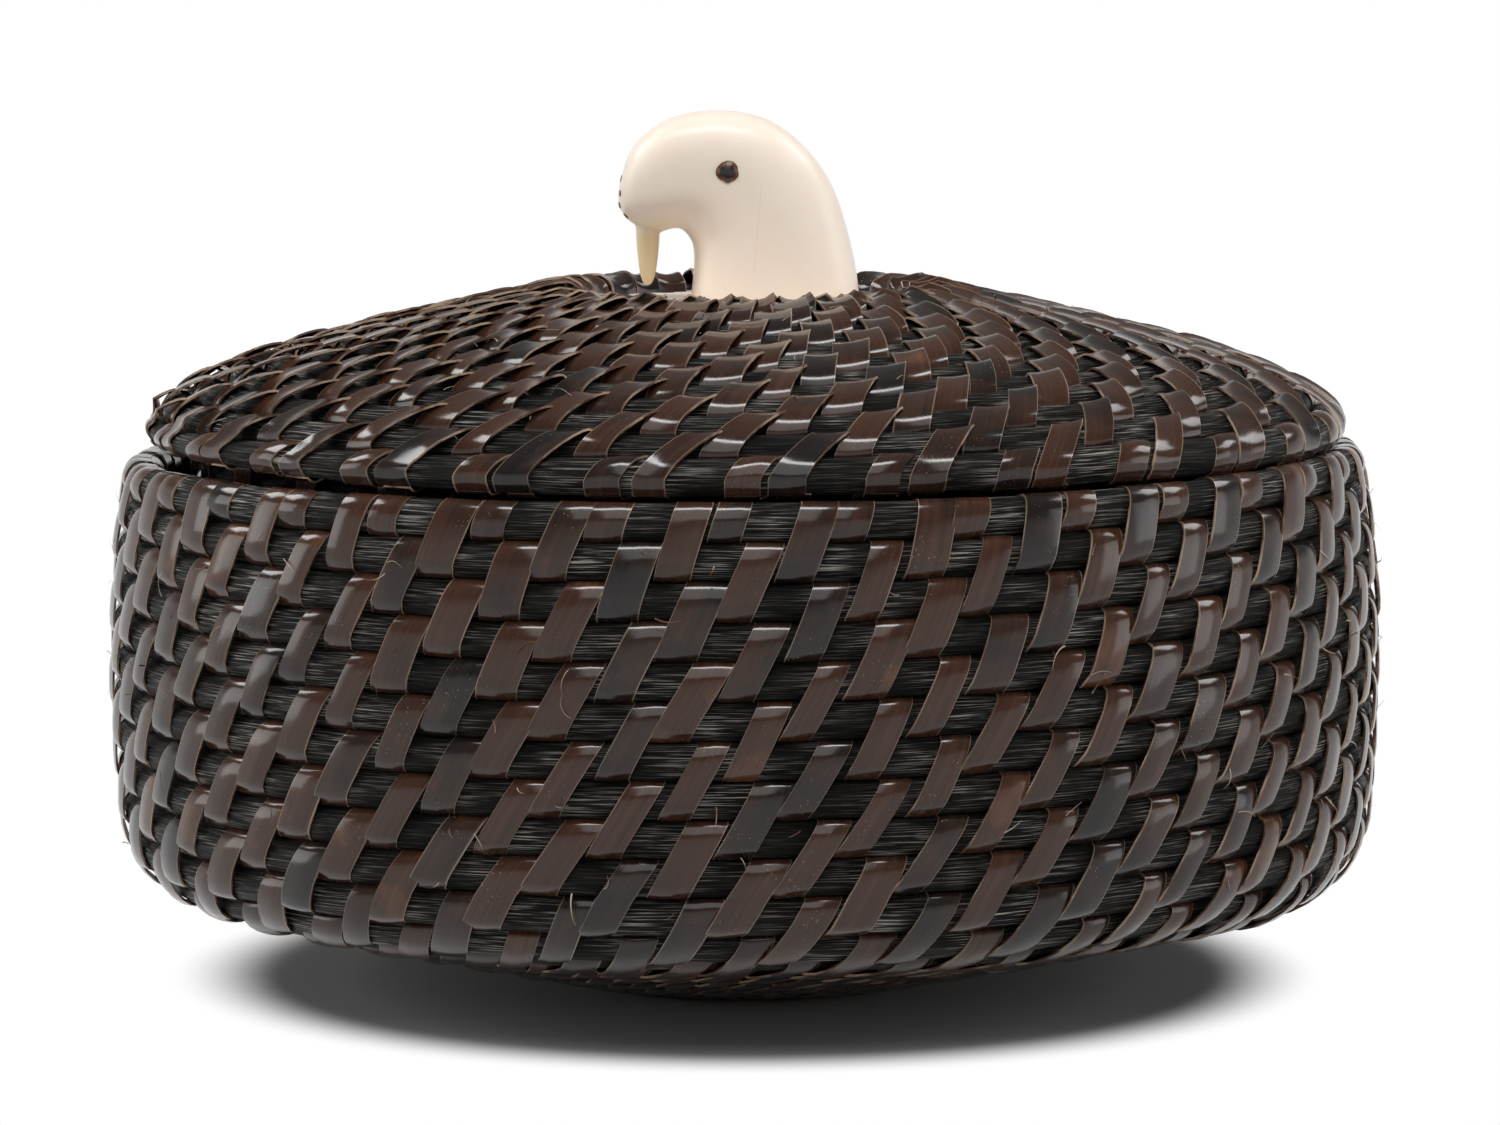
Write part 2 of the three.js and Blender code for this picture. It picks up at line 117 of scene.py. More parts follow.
# Exponents of where slivers lie: above 1, they crowd towards the disc
EVEN_CROWD = 1.0
DISC_CROWD = 1.5

# How many layers of finer noise a pattern has
PLAIN_DETAIL = 2.0
PATCH_DETAIL = 3.0
FINE_DETAIL = 4.0
EDGE_DETAIL = 5.0

# Fibres: how far apart in the noise two strips' grain lies, how coarse the fine and the broad
# fibres are, and how many lie across and along a strip, and in a metre along and round a rod
FIBRE_SPREAD = 37.0
FINE_FIBRE_SCALE = 1.0
BROAD_FIBRE_SCALE = 0.21
SPLINT_FIBRES_ACROSS = 34.0
SPLINT_FIBRES_ALONG = 3.0
ROD_FIBRES_ALONG = 190.0
ROD_FIBRES_ROUND = 8200.0

# Colour, grain and wear. The scales are in cells of the noise a metre
SPLINT_PATCH_SCALE = 210.0
SPLINT_GRAIN_STRENGTH = 0.07
SPLINT_GRAIN_DEPTH = 0.00004
TONE_SHARE = 0.75
TONE_START = -0.42
PATCH_SHARE = 1.1
RAGGED_SHARE = 0.10
DUST_SHARE = 0.8
SPECK_SCALE = 2300.0
DRIFT_SCALE = 160.0
FIBRE_END_SCALE = 300.0
ROD_PATCH_SCALE = 140.0
ROD_GRAIN_STRENGTH = 1.0
ROD_GRAIN_DEPTH = 0.0004
GROWTH_SCALE = 120.0
IVORY_GLOW_DEPTH = 0.0015
CRACK_WANDER_SCALE = 400.0
CRACK_SHARE = 0.45
INLAY_GRAIN_SCALE = 1500.0
INLAY_GRAIN_SHARE = 0.6

# The head's skin: how far it is softened, and how often
SOFTEN_SHARE = 0.5
SOFTEN_ROUNDS = 12

# The stage: the nearest thing that the camera sees, where the pale wall round the basket ends, as
# the sine of a height over the horizon, and how bright reflections show it and what is above it
CLIP_START = 0.01
WALL_FADE_START = 0.12
WALL_FADE_END = 0.42
WALL_GLOSS = 0.85
SKY_GLOSS = 0.13
WORLD_FILL = 0.05


def length_property(name, description, default):
    return bpy.props.FloatProperty(
        name=name, description=description, default=default, unit="LENGTH", precision=5
    )


def angle_property(name, description, degrees):
    return bpy.props.FloatProperty(
        name=name, description=description, default=math.radians(degrees), subtype="ANGLE"
    )


def share_property(name, description, default):
    return bpy.props.FloatProperty(name=name, description=description, default=default)


def count_property(name, description, default):
    return bpy.props.IntProperty(name=name, description=description, default=default, min=1)


def colour_property(name, description, default):
    return bpy.props.FloatVectorProperty(
        name=name, description=description, default=default, subtype="COLOR", size=4, min=0, max=1
    )


# Sizes and colours that a user would change
class RodSizes(bpy.types.PropertyGroup):
    """The rod that is wound in a spiral."""

    row_pitch: length_property("Row pitch", "From one loop of rod to the next", 0.00345)
    height: length_property("Rod height", "Across the loops", 0.00344)
    depth: length_property("Rod depth", "Through the wall", 0.0030)
    squareness: share_property("Squareness", "Exponent of the rod's rounded section", 2.2)
    start_taper_turns: share_property("Start taper", "Turns over which the rod grows to full size", 0.5)
    end_taper_turns: share_property("End taper", "Turns over which the rod thins at the rim", 0.3)
    thinnest_share: share_property("Thinnest share", "Size of the rod at its two ends", 0.31)
    sides: count_property("Sides", "Faces round the rod", 20)
    steps_per_turn: count_property("Steps", "Rings of the rod in a turn", 90)
    sway_along: length_property("Row sway", "How far the rows wander up and down", 0.00022)
    sway_out: length_property("Wall sway", "How far the wall wanders in and out", 0.00022)
    sway_reach: length_property("Sway reach", "Length of the wandering", 0.014)
    sway_start: length_property("Sway start", "Distance from the first loop at which it is full", 0.02)
    ridge: length_property("Ridges", "Height of the fibre ridges along a rod", 0.00011)
    ridges_round: share_property("Ridges round", "How many ridges lie round a rod", 3.4)
    ridge_reach: share_property("Ridge reach", "Length of a ridge, in turns", 0.09)


class SplintSizes(bpy.types.PropertyGroup):
    """The flat splints that sew the rod."""

    width: length_property("Width", "Across a splint", 0.00335)
    thickness: length_property("Thickness", "Through a splint", 0.00021)
    gap: length_property("Gap", "Between splints side by side in a slit", 0.0001)
    squeeze_share: share_property("Squeeze", "Curl of a narrowed splint, as a share of an arc", 0.10)
    cup: length_property("Cup", "How far a splint's edges stand off its middle", 0.00005)
    twist: length_property("Twist", "How far a splint laps over the next one", 0.00014)
    fray_length: length_property("Fray length", "A frayed sliver of fibre", 0.0020)
    fray_width: length_property("Fray width", "Across a frayed sliver", 0.00013)
    fray_seat: length_property("Fray seat", "Where a sliver leaves the splints", 0.00195)
    basket_frays: count_property("Basket frays", "Slivers on the basket", 150)
    lid_frays: count_property("Lid frays", "Slivers on the lid", 130)
    foot: length_property("Foot", "Lowest height of a splint's middle plane", 0.00016)
    bow: length_property("Bow", "How far a splint bows off the valley between two rods", 0.00007)
    lift: length_property("Lift", "How far a splint laps over the one beside it", 0.00013)
    basket_stitches: count_property("Basket stitches", "Stitches in a turn of the basket", 35)
    lid_stitches: count_property("Lid stitches", "Stitches in a turn of the lid", 30)
    slant_share: share_property("Slant", "Lean of a stitch as a share of the stitch spacing", 0.20)
    foot_slant_share: share_property("Foot slant", "The same near the basket's foot", 0.44)
    disc_slant_share: share_property("Disc slant", "The same beside the lid's disc", 0.12)
    edge_slant_share: share_property("Edge slant", "The same at the lid's edge", 0.44)


class BasketSizes(bpy.types.PropertyGroup):
    """The basket's body."""

    disc_radius: length_property("Disc radius", "Base disc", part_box("base_disc")[1].x)
    disc_thickness: length_property("Disc thickness", "Base disc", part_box("base_disc")[1].z)
    seat_gap: length_property("Seat gap", "Between the disc and the first loop", 0.0003)
    first_height: length_property("First loop", "Height of the first loop's centre", 0.0022)
    widest_radius: length_property("Widest radius", "Rod's centre line where the wall is widest", 0.0585)
    wall_curve_radius: length_property("Wall curve", "Radius of the wall's bow", 0.135)
    corner_radius: length_property("Corner", "Radius between underside and wall", 0.0065)
    rim_height: length_property("Rim height", "Centre of the last loop", 0.05055)
    wall_foot_lean: angle_property("Wall lean", "Lean of the wall's foot", 6)
    underside_slope: angle_property("Underside slope", "Rise of the underside", 13.5)
    rim_end_azimuth: angle_property("Rim end", "Where the rod ends", 90)


class LidSizes(bpy.types.PropertyGroup):
    """The lid and its flange."""

    disc_radius: length_property("Disc radius", "Lid disc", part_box("lid_disc")[1].x)
    disc_top: length_property("Disc top", "Lid disc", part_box("lid_disc")[1].z)
    disc_thickness: length_property("Disc thickness", "Lid disc", 0.0021)
    coil_rise: length_property("Coil rise", "First loop's centre over the disc's middle", 0.00045)
    inset: length_property("Inset", "Last loop inside the basket's rim loop", 0.00009)
    edge_curve_radius: length_property("Edge curve", "Radius of the bend near the edge", 0.0363)
    start_slope: angle_property("Start slope", "Fall of the dome at the disc", 10)
    shoulder_slope: angle_property("Shoulder slope", "Fall where the edge curve starts", 16)
    edge_slope: angle_property("Edge slope", "Fall at the edge", 36)
    end_azimuth: angle_property("Edge end", "Where the rod ends", 150)
    flange_turns: count_property("Flange turns", "Loops that hang into the mouth", 2)


class HeadSizes(bpy.types.PropertyGroup):
    """The walrus head."""

    sections: count_property("Sections", "Sections from neck to muzzle", 44)
    sides: count_property("Sides", "Faces round a section", 64)
    squareness: share_property("Squareness", "Exponent of the head's rounded sections", 2.7)
    tusk_spacing: length_property("Tusk spacing", "Between the tusks' middles", 0.0038)
    tusk_length: length_property("Tusk length", "From lip to tip", 0.0056)
    tusk_root: length_property("Tusk root", "Tusk's diameter at the lip", 0.0023)
    tusk_root_depth: length_property("Tusk root depth", "Tusk's reach into the lip", 0.0015)
    eye_radius: length_property("Eye radius", "Inlaid eye", 0.00105)
    whisker_radius: length_property("Whisker radius", "Inlaid whisker dot", 0.0003)
    inlay_depth: length_property("Inlay depth", "Reach of an inlay into the head", 0.0012)
    inlay_wear_share: share_property("Inlay wear", "How uneven an inlay's outline is", 0.16)
    inlay_stand: length_property("Inlay stand", "How far an inlay's face stands proud", 0.00006)
    voxel: length_property("Voxel", "Fineness of the carved skin", 0.00018)


class BasketColours(bpy.types.PropertyGroup):
    """Colours of the basket."""

    splint_dark: colour_property("Splint, dark", "Black baleen", (0.0095, 0.0072, 0.0064, 1))
    splint_brown: colour_property("Splint, brown", "Brown baleen", (0.043, 0.0185, 0.0108, 1))
    splint_red: colour_property("Splint, reddish", "Reddish brown baleen", (0.082, 0.034, 0.0165, 1))
    splint_edge: colour_property("Splint edge", "Cut edge of a splint", (0.35, 0.25, 0.175, 1))
    rod: colour_property("Rod", "Black fibrous rod", (0.0042, 0.0038, 0.0035, 1))
    rod_fibre: colour_property("Rod fibre", "Pale fibres in the rod", (0.36, 0.335, 0.30, 1))
    ivory: colour_property("Ivory", "Polished ivory", (0.90, 0.79, 0.685, 1))
    # The head's ivory is a darker copy of the discs' ivory: painted shade, which offsets the stronger
    # light that the lamps give the head
    ivory_head_painted_shade: colour_property("Ivory, head with painted shade", "The head's ivory", (0.80, 0.70, 0.61, 1))
    ivory_aged: colour_property("Ivory, aged", "Yellowed ivory", (0.66, 0.53, 0.33, 1))
    inlay: colour_property("Inlay", "Inlaid eye and whiskers", (0.010, 0.007, 0.006, 1))
    inlay_rim: colour_property("Inlay rim", "Brown rim of an inlay", (0.10, 0.035, 0.015, 1))
    dust: colour_property("Dust", "Specks of dust and worn fibre", (0.34, 0.30, 0.25, 1))
    floor: colour_property("Floor", "Floor under the basket", (0.58, 0.58, 0.58, 1))


class StageSizes(bpy.types.PropertyGroup):
    """Camera, floor and lamps."""

    camera_distance: length_property("Distance", "Camera to the basket's axis", 0.600)
    camera_height: length_property("Height", "Camera over the floor", 0.1035)
    camera_pitch: angle_property("Pitch", "Camera looks down by this", 6.11)
    sensor_width: share_property("Sensor", "Sensor's width in millimetres", 36)
    focal_pixels: share_property("Focal length", "In pixels of the photograph", 6308)
    photo_width: share_property("Photograph", "Its width in pixels", 1500)
    axis_pixel: share_property("Axis", "Pixel column of the basket's axis", 745)
    floor_size: length_property("Floor", "Half the floor's side", 1.5)
    fade_start: length_property("Fade start", "Where the floor starts to fade to white", 0.0445)
    fade_end: length_property("Fade end", "Where the floor is plain white", 0.0555)


class CoiledBasket(bpy.types.PropertyGroup):
    """Everything that shapes the basket."""

    rod: bpy.props.PointerProperty(type=RodSizes)
    splint: bpy.props.PointerProperty(type=SplintSizes)
    basket: bpy.props.PointerProperty(type=BasketSizes)
    lid: bpy.props.PointerProperty(type=LidSizes)
    head: bpy.props.PointerProperty(type=HeadSizes)
    colours: bpy.props.PointerProperty(type=BasketColours)
    stage: bpy.props.PointerProperty(type=StageSizes)


# Meridians and coils
class Arc:
    """A stretch of a meridian with one curvature, from a radius, a height and a direction."""

    def __init__(self, radius, height, direction, curvature, begin):
        self.radius = radius
        self.height = height
        self.direction = direction
        self.curvature = curvature
        self.begin = begin

    def at(self, distance):
        direction = self.direction + distance * self.curvature
        if self.curvature == 0:
            radius = self.radius + distance * math.cos(direction)
            return radius, self.height + distance * math.sin(direction), direction
        radius = self.radius + (math.sin(direction) - math.sin(self.direction)) / self.curvature
        height = self.height - (math.cos(direction) - math.cos(self.direction)) / self.curvature
        return radius, height, direction


class Meridian:
    """Arcs joined end to end in the half plane of radius and height."""

    def __init__(self, radius, height, direction, bends):
        self.arcs = []
        self.length = 0
        for bend_length, curvature in bends:
            arc = Arc(radius, height, direction, curvature, self.length)
            self.arcs.append(arc)
            radius, height, direction = arc.at(bend_length)
            self.length += bend_length

    def at(self, distance):
        arc = self.arcs[0]
        for candidate in self.arcs:
            if candidate.begin <= distance:
                arc = candidate
        return arc.at(distance - arc.begin)


class Coil:
    """A rod wound along a meridian. Sense is 1 where it runs counter-clockwise outward, from above."""

    def __init__(self, path, rod, sense, outer_side, end_azimuth):
        self.path = path
        self.rod = rod
        self.turns = path.length / rod.row_pitch
        self.sense = sense
        self.outer_side = outer_side
        self.end_azimuth = end_azimuth

    def azimuth(self, turns):
        return self.end_azimuth + self.sense * (turns - self.turns) * TAU

    def place(self, turns, distance, out, aside=0.0):
        """The point so far along the meridian, out of its face and aside along the rod."""
        radius, height, direction = self.path.at(distance)
        azimuth = self.azimuth(turns) + self.sense * aside / radius
        reach = self.rod.sway_reach
        spot = Vector((radius * math.cos(azimuth), radius * math.sin(azimuth), height)) / reach
        settled = min(1.0, max(0.0, distance / self.rod.sway_start))
        distance += settled * self.rod.sway_along * noise.noise(spot)
        out += settled * self.rod.sway_out * noise.noise(spot + Vector((reach, TAU, TAU)))
        radius, height, direction = self.path.at(distance)
        radius -= self.outer_side * out * math.sin(direction)
        height += self.outer_side * out * math.cos(direction)
        return Vector((radius * math.cos(azimuth), radius * math.sin(azimuth), height))

    def rod_share(self, turns):
        """Size of the rod there, as a share of its full size."""
        start = max(0.0, -turns / self.rod.start_taper_turns)
        end = max(0.0, 1 - (self.turns - turns) / self.rod.end_taper_turns)
        return 1 - (1 - self.rod.thinnest_share) * min(1.0, max(start, end))


def basket_coil(settings):
    rod = settings.rod
    sizes = settings.basket
    start = sizes.disc_radius + sizes.seat_gap + cad_rod_half_height(rod)
    slope = sizes.underside_slope
    foot = TAU / 4 - sizes.wall_foot_lean
    foot_radius = sizes.widest_radius - sizes.wall_curve_radius * (1 - math.cos(sizes.wall_foot_lean))
    corner = sizes.corner_radius
    corner_reach = corner * (math.sin(foot) - math.sin(slope))
    corner_climb = corner * (math.cos(slope) - math.cos(foot))
    underside = (foot_radius - start - corner_reach) / math.cos(slope)
    foot_height = sizes.first_height + underside * math.sin(slope) + corner_climb
    top = math.acos(math.cos(foot) - (sizes.rim_height - foot_height) / sizes.wall_curve_radius)
    bends = [
        (underside, 0),
        (corner * (foot - slope), 1 / corner),
        (sizes.wall_curve_radius * (top - foot), 1 / sizes.wall_curve_radius),
    ]
    path = Meridian(start, sizes.first_height, slope, bends)
    coil = Coil(path, rod, 1, -1, sizes.rim_end_azimuth)
    coil.underside_turns = underside / rod.row_pitch
    return coil


def cad_rod_half_height(rod):
    """Half the height of the CAD's rod, which sets how far from a disc the first loop lies."""
    return (rod.row_pitch - CAD_ROW_GAP) / 2


def lid_coil(settings):
    sizes = settings.lid
    basket = basket_coil(settings)
    rim_radius = basket.path.at(basket.path.length)[0]
    start = sizes.disc_radius + settings.basket.seat_gap + cad_rod_half_height(settings.rod)
    start_height = sizes.disc_top - sizes.disc_thickness / 2 + sizes.coil_rise
    edge_bend = sizes.edge_slope - sizes.shoulder_slope
    edge_reach = sizes.edge_curve_radius * (math.sin(sizes.edge_slope) - math.sin(sizes.shoulder_slope))
    dome_reach = rim_radius - sizes.inset - edge_reach - start
    dome_radius = dome_reach / (math.sin(sizes.shoulder_slope) - math.sin(sizes.start_slope))
    bends = [
        (dome_radius * (sizes.shoulder_slope - sizes.start_slope), -1 / dome_radius),
        (sizes.edge_curve_radius * edge_bend, -1 / sizes.edge_curve_radius),
    ]
    path = Meridian(start, start_height, -sizes.start_slope, bends)
    return Coil(path, settings.rod, -1, 1, sizes.end_azimuth)


def flange_coil(settings):
    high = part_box("lid_flange_coil")[1]
    rod = settings.rod
    radius = high.x - rod.depth / 2
    drop = settings.lid.flange_turns * rod.row_pitch
    path = Meridian(radius, high.z - rod.row_pitch / 2, -TAU / 4, [(drop, 0)])
    return Coil(path, rod, -1, 1, settings.lid.end_azimuth)


# Meshes
def finish_piece(bm, name, body, materials, replaced=()):
    """Makes the mesh an object, gives it its materials and tells the frame what it is."""
    mesh = bpy.data.meshes.new(name)
    bm.to_mesh(mesh)
    bm.free()
    mesh.polygons.foreach_set("use_smooth", [True] * len(mesh.polygons))
    piece = bpy.data.objects.new(name, mesh)
    bpy.context.scene.collection.objects.link(piece)
    for material in materials:
        mesh.materials.append(material)
    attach(piece, body)
    if replaced:
        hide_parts(*replaced)
    return piece


def wind_rod(coil, first_turn, last_turn):
    """A tube along the coil, made from a grid that is rolled up and merged at its seam."""
    rod = coil.rod
    steps = math.ceil((last_turn - first_turn) * rod.steps_per_turn)
    bm = bmesh.new()
    uv = bm.loops.layers.uv.new("RodUV")
    grid = bmesh.ops.create_grid(
        bm, x_segments=steps, y_segments=rod.sides, size=UNIT_HALF, calc_uvs=True
    )
    for vertex in grid["verts"]:
        turns = first_turn + (last_turn - first_turn) * (vertex.co.x + UNIT_HALF)
        angle = TAU * (vertex.co.y + UNIT_HALF)
        share = coil.rod_share(turns)
        lean = (1 - share if turns < 0 else share - 1) / 2
        around = Vector((math.cos(angle), math.sin(angle), 0)) * rod.ridges_round
        ridge = rod.ridge * noise.noise(around + Vector((0, 0, turns / rod.ridge_reach)))
        share += 2 * ridge / rod.height
        along = share * rounded(math.cos(angle), rod.squareness) / 2 + lean
        out = share * rounded(math.sin(angle), rod.squareness) * rod.depth / 2
        distance = turns * rod.row_pitch + along * rod.height
        vertex.co = coil.place(turns, distance, out)
    run = (last_turn - first_turn) * TAU * coil.path.at(coil.path.length)[0]
    for face in bm.faces:
        for loop in face.loops:
            loop[uv].uv = (loop[uv].uv.x * run, loop[uv].uv.y * math.pi * rod.height)
    bmesh.ops.remove_doubles(bm, verts=bm.verts, dist=SEAM_SHARE * rod.height / rod.sides)
    ends = [edge for edge in bm.edges if edge.is_boundary]
    bmesh.ops.edgeloop_fill(bm, edges=ends)
    bmesh.ops.recalc_face_normals(bm, faces=bm.faces)
    return bm


def rounded(value, squareness):
    """A cosine or sine, filled out towards a square's."""
    return math.copysign(abs(value) ** (2 / squareness), value)


# Each station of a stitch: rows up from its own rod's centre, and how far out of the rods' middle
# plane in half depths, first over the outside down two rods, then back up the inside
OUTER_SHARES = [
    (0.500, -0.40), (0.499, 0.15), (0.478, 0.45), (0.430, 0.66), (0.360, 0.82), (0.270, 0.96),
    (0.170, 1.05), (0.04, 1.12), (-0.20, 1.15), (-0.50, 1.15), (-0.80, 1.15), (-1.04, 1.12),
    (-1.170, 1.05), (-1.270, 0.96), (-1.360, 0.82), (-1.430, 0.66), (-1.478, 0.45), (-1.499, 0.15),
    (-1.500, -0.40),
]
INNER_SHARES = [
    (-1.466, -0.80), (-1.33, -1.25), (-1.00, -1.42), (-0.50, -1.34), (-0.05, -1.26), (0.30, -1.14),
    (0.455, -0.75), (0.500, -0.40),
]
WRAP_SHARES = [
    (0.500, -0.40), (0.499, 0.15), (0.478, 0.45), (0.430, 0.66), (0.360, 0.84), (0.250, 1.00),
    (0.12, 1.10), (0.00, 1.13), (-0.12, 1.10), (-0.250, 1.00), (-0.360, 0.84), (-0.430, 0.66),
    (-0.478, 0.45), (-0.499, 0.15), (-0.500, -0.40), (-0.455, -0.75), (-0.20, -1.12), (0.20, -1.12),
    (0.455, -0.75), (0.500, -0.40),
]


def arc_rise(length, chord):
    """How far a shallow arc of that length rises over its chord."""
    return math.sqrt(max(0.0, 3 * chord * (length - chord) / 8))


def eased(start, end, share, ease):
    """From start to end as the share goes from 0 to 1."""
    return start + (end - start) * min(1.0, max(0.0, share)) ** ease


class Sewing:
    """Sews a coil with stitches, each one flat strip wound over its own loop and the loop before."""

    # Points across a strip, and its twist, cup and bow as shares of the splint's. A cup above 0 lifts
    # the strip's sides and one below 0 its middle, and the rise says how much of it the middle takes
    columns = 4
    twist_share = 0.6
    cup_share = -3.0
    cup_rise_share = 0.6
    bow_share = 1.0
    # What the first turns add to the cup, and how many turns earlier the bow is whole than at turn 1
    early_cup_share = 0.0
    early_turns = 0.0
    # Where a strip that ends in the disc starts to come out of it, the rows that it takes, and how
    # far out it starts, in half depths of a rod
    disc_row = -0.75
    disc_run = 0.55
    disc_depth = 0.55

    def __init__(self, name, coil, splint, stitches, slant_at):
        self.name = name
        self.coil = coil
        self.splint = splint
        self.stitches = stitches
        self.slant_at = slant_at
        self.draw = random.Random(SEWING_SEEDS[name])
        self.bm = bmesh.new()
        self.bm.loops.layers.uv.new("StripUV")
        self.tone = self.bm.verts.layers.float.new("tone")
        self.seed = self.bm.verts.layers.float.new("seed")

    def places(self, first_turn):
        """The turns at which stitches stand, up to one stitch before the rod ends. On each loop they
        shift by a third of a stitch and half the slant."""
        turns = first_turn
        found = []
        while turns < self.coil.turns - 1 / self.stitches:
            found.append(turns)
            turns += 1 / (self.stitches - 1 / STRIPS_IN_A_GAP - self.slant_at(turns) / 2)
        return found

    def spacing(self, turns):
        radius = self.coil.path.at(turns * self.coil.rod.row_pitch)[0]
        return TAU * radius / self.stitches

    def lay(self, stations, width):
        """One strip through stations of (turns, distance, out, aside, width). A narrow place cups it."""
        columns = self.columns
        grid = bmesh.ops.create_grid(
            self.bm, x_segments=columns - 1, y_segments=len(stations) - 1, size=UNIT_HALF, calc_uvs=True
        )
        tone = self.draw.random()
        seed = self.draw.random()
        twist = -self.twist_share * self.splint.twist * self.draw.uniform(*TWIST_DRAW_SHARES)
        for index, vertex in enumerate(grid["verts"]):
            turns, distance, out, aside, narrow = stations[index // columns]
            across = 2 * (index % columns) / (columns - 1) - 1
            vertex[self.tone] = tone
            vertex[self.seed] = seed
            if out > 0:
                early = self.early_cup_share / (1 + max(0.0, turns)) ** 2
                curl = (self.cup_share + early) * self.splint.cup
                curl += self.splint.squeeze_share * arc_rise(width, narrow)
                out += (across ** 2 - self.cup_rise_share) * curl + across * twist
            vertex.co = self.coil.place(turns, distance, out, aside + across * narrow / 2)
            vertex.co.z = max(vertex.co.z, self.splint.foot)

    def station(self, turns, slant, shape, own, inner, width, jog=0.0, lift=0.0, reach=1.0, shift=0.0):
        """A station's place from its rows and its half depths. A short reach ends it in the disc."""
        rows, depths = shape
        rod = self.coil.rod
        spacing = self.spacing(turns)
        crest = math.cos(math.pi * rows)
        crossing = min(width, spacing * CROSSING_SHARE)
        outer_width = min(width, spacing * CLOSE_SHARE)
        full = crossing + (outer_width - crossing) * abs(crest)
        if inner:
            share = min(1.0, (rows + STITCH_FOOT_ROWS) / STITCH_FOOT_ROWS)
            aside = spacing * (-slant + (1 + slant) * share)
            full *= INNER_WIDTH_SHARE
        else:
            share = min(1.0, max(0.0, (LEAN_START_ROWS - rows) / LEAN_RUN_ROWS))
            aside = -spacing * slant * share - (outer_width - crossing) / 2 * crest
        aside += jog + shift * spacing
        scaled = rows
        if rows > -HALF_ROW:
            scaled = -HALF_ROW + (rows + HALF_ROW) * own
            depths *= own + (1 - own) * max(0.0, -2 * rows)
        scaled = HALF_ROW * own + (scaled - HALF_ROW * own) * reach
        if reach < 1:
            ashore = min(1.0, max(0.0, (turns + scaled - self.disc_row) / self.disc_run))
            depths = min(depths, self.disc_depth + (FULL_DEPTH_SHARE - self.disc_depth) * ashore)
        out = depths * rod.depth / 2
        if not inner and depths > 1:
            bow = self.splint.bow * max(0.0, math.cos(math.pi * (rows + HALF_ROW) / BOW_RUN_ROWS))
            settled = min(1.0, max(0.0, turns + self.early_turns))
            out += settled * (self.bow_share * bow + lift * min(1.0, max(0.0, -rows)))
        distance = (turns + scaled) * rod.row_pitch
        return turns, distance, out, aside, full

    def stitch(self, turns, disc_edge=None):
        """A long stitch: down the outside over two loops, and up the inside to the next one."""
        slant = self.slant_at(turns) + self.draw.uniform(*SLANT_DRAW_SHARES)
        width = self.splint.width * self.draw.uniform(*WIDTH_DRAW_SHARES)
        jog = self.splint.gap * self.draw.uniform(*JOG_DRAW_SHARES)
        lift = self.splint.lift * self.draw.uniform(*LIFT_DRAW_SHARES)
        own = self.coil.rod_share(turns)
        reach = 1.0
        if disc_edge is not None and turns < 1:
            reach = (turns + HALF_ROW - disc_edge) / 2
        stations = []
        for inner, shapes in ((False, OUTER_SHARES), (True, INNER_SHARES)):
            for shape in shapes:
                stations.append(self.station(turns, slant, shape, own, inner, width, jog, lift, reach))
        self.lay(stations, width)

    def wrap(self, turns):
        """A short wrap round the last loop alone, beside a long stitch."""
        slant = self.slant_at(turns)
        width = self.splint.width * self.draw.uniform(*WRAP_WIDTH_DRAW_SHARES)
        own = self.coil.rod_share(turns)
        stations = []
        for shape in WRAP_SHARES:
            stations.append(
                self.station(turns, slant, shape, own, False, width, shift=1 / STRIPS_IN_A_GAP)
            )
        self.lay(stations, width)

    def piece(self, body, materials, replaced=()):
        """Ends the sewing: the strips get their thickness, with the cut edge's material round it."""
        for edge in self.bm.edges:
            if edge.is_boundary:
                edge.smooth = False
        piece = finish_piece(self.bm, self.name, body, materials, replaced)
        shell = piece.modifiers.new("Thickness", "SOLIDIFY")
        shell.thickness = self.splint.thickness
        shell.offset = 0
        shell.material_offset_rim = 1


class UndersideSewing(Sewing):
    """The underside's strips start deeper in the disc."""

    disc_depth = 0.2


class DomeSewing(Sewing):
    """The dome's strips bow, cup and twist more, above all in the first turns round the disc."""

    columns = 5
    twist_share = 1.0
    cup_share = 2.4
    cup_rise_share = 0.0
    bow_share = 2.8
    early_cup_share = 15.0
    early_turns = 0.9


class EdgeSewing(Sewing):
    """The wraps of the lid's edge have as many points across as the dome's strips."""

    columns = DomeSewing.columns


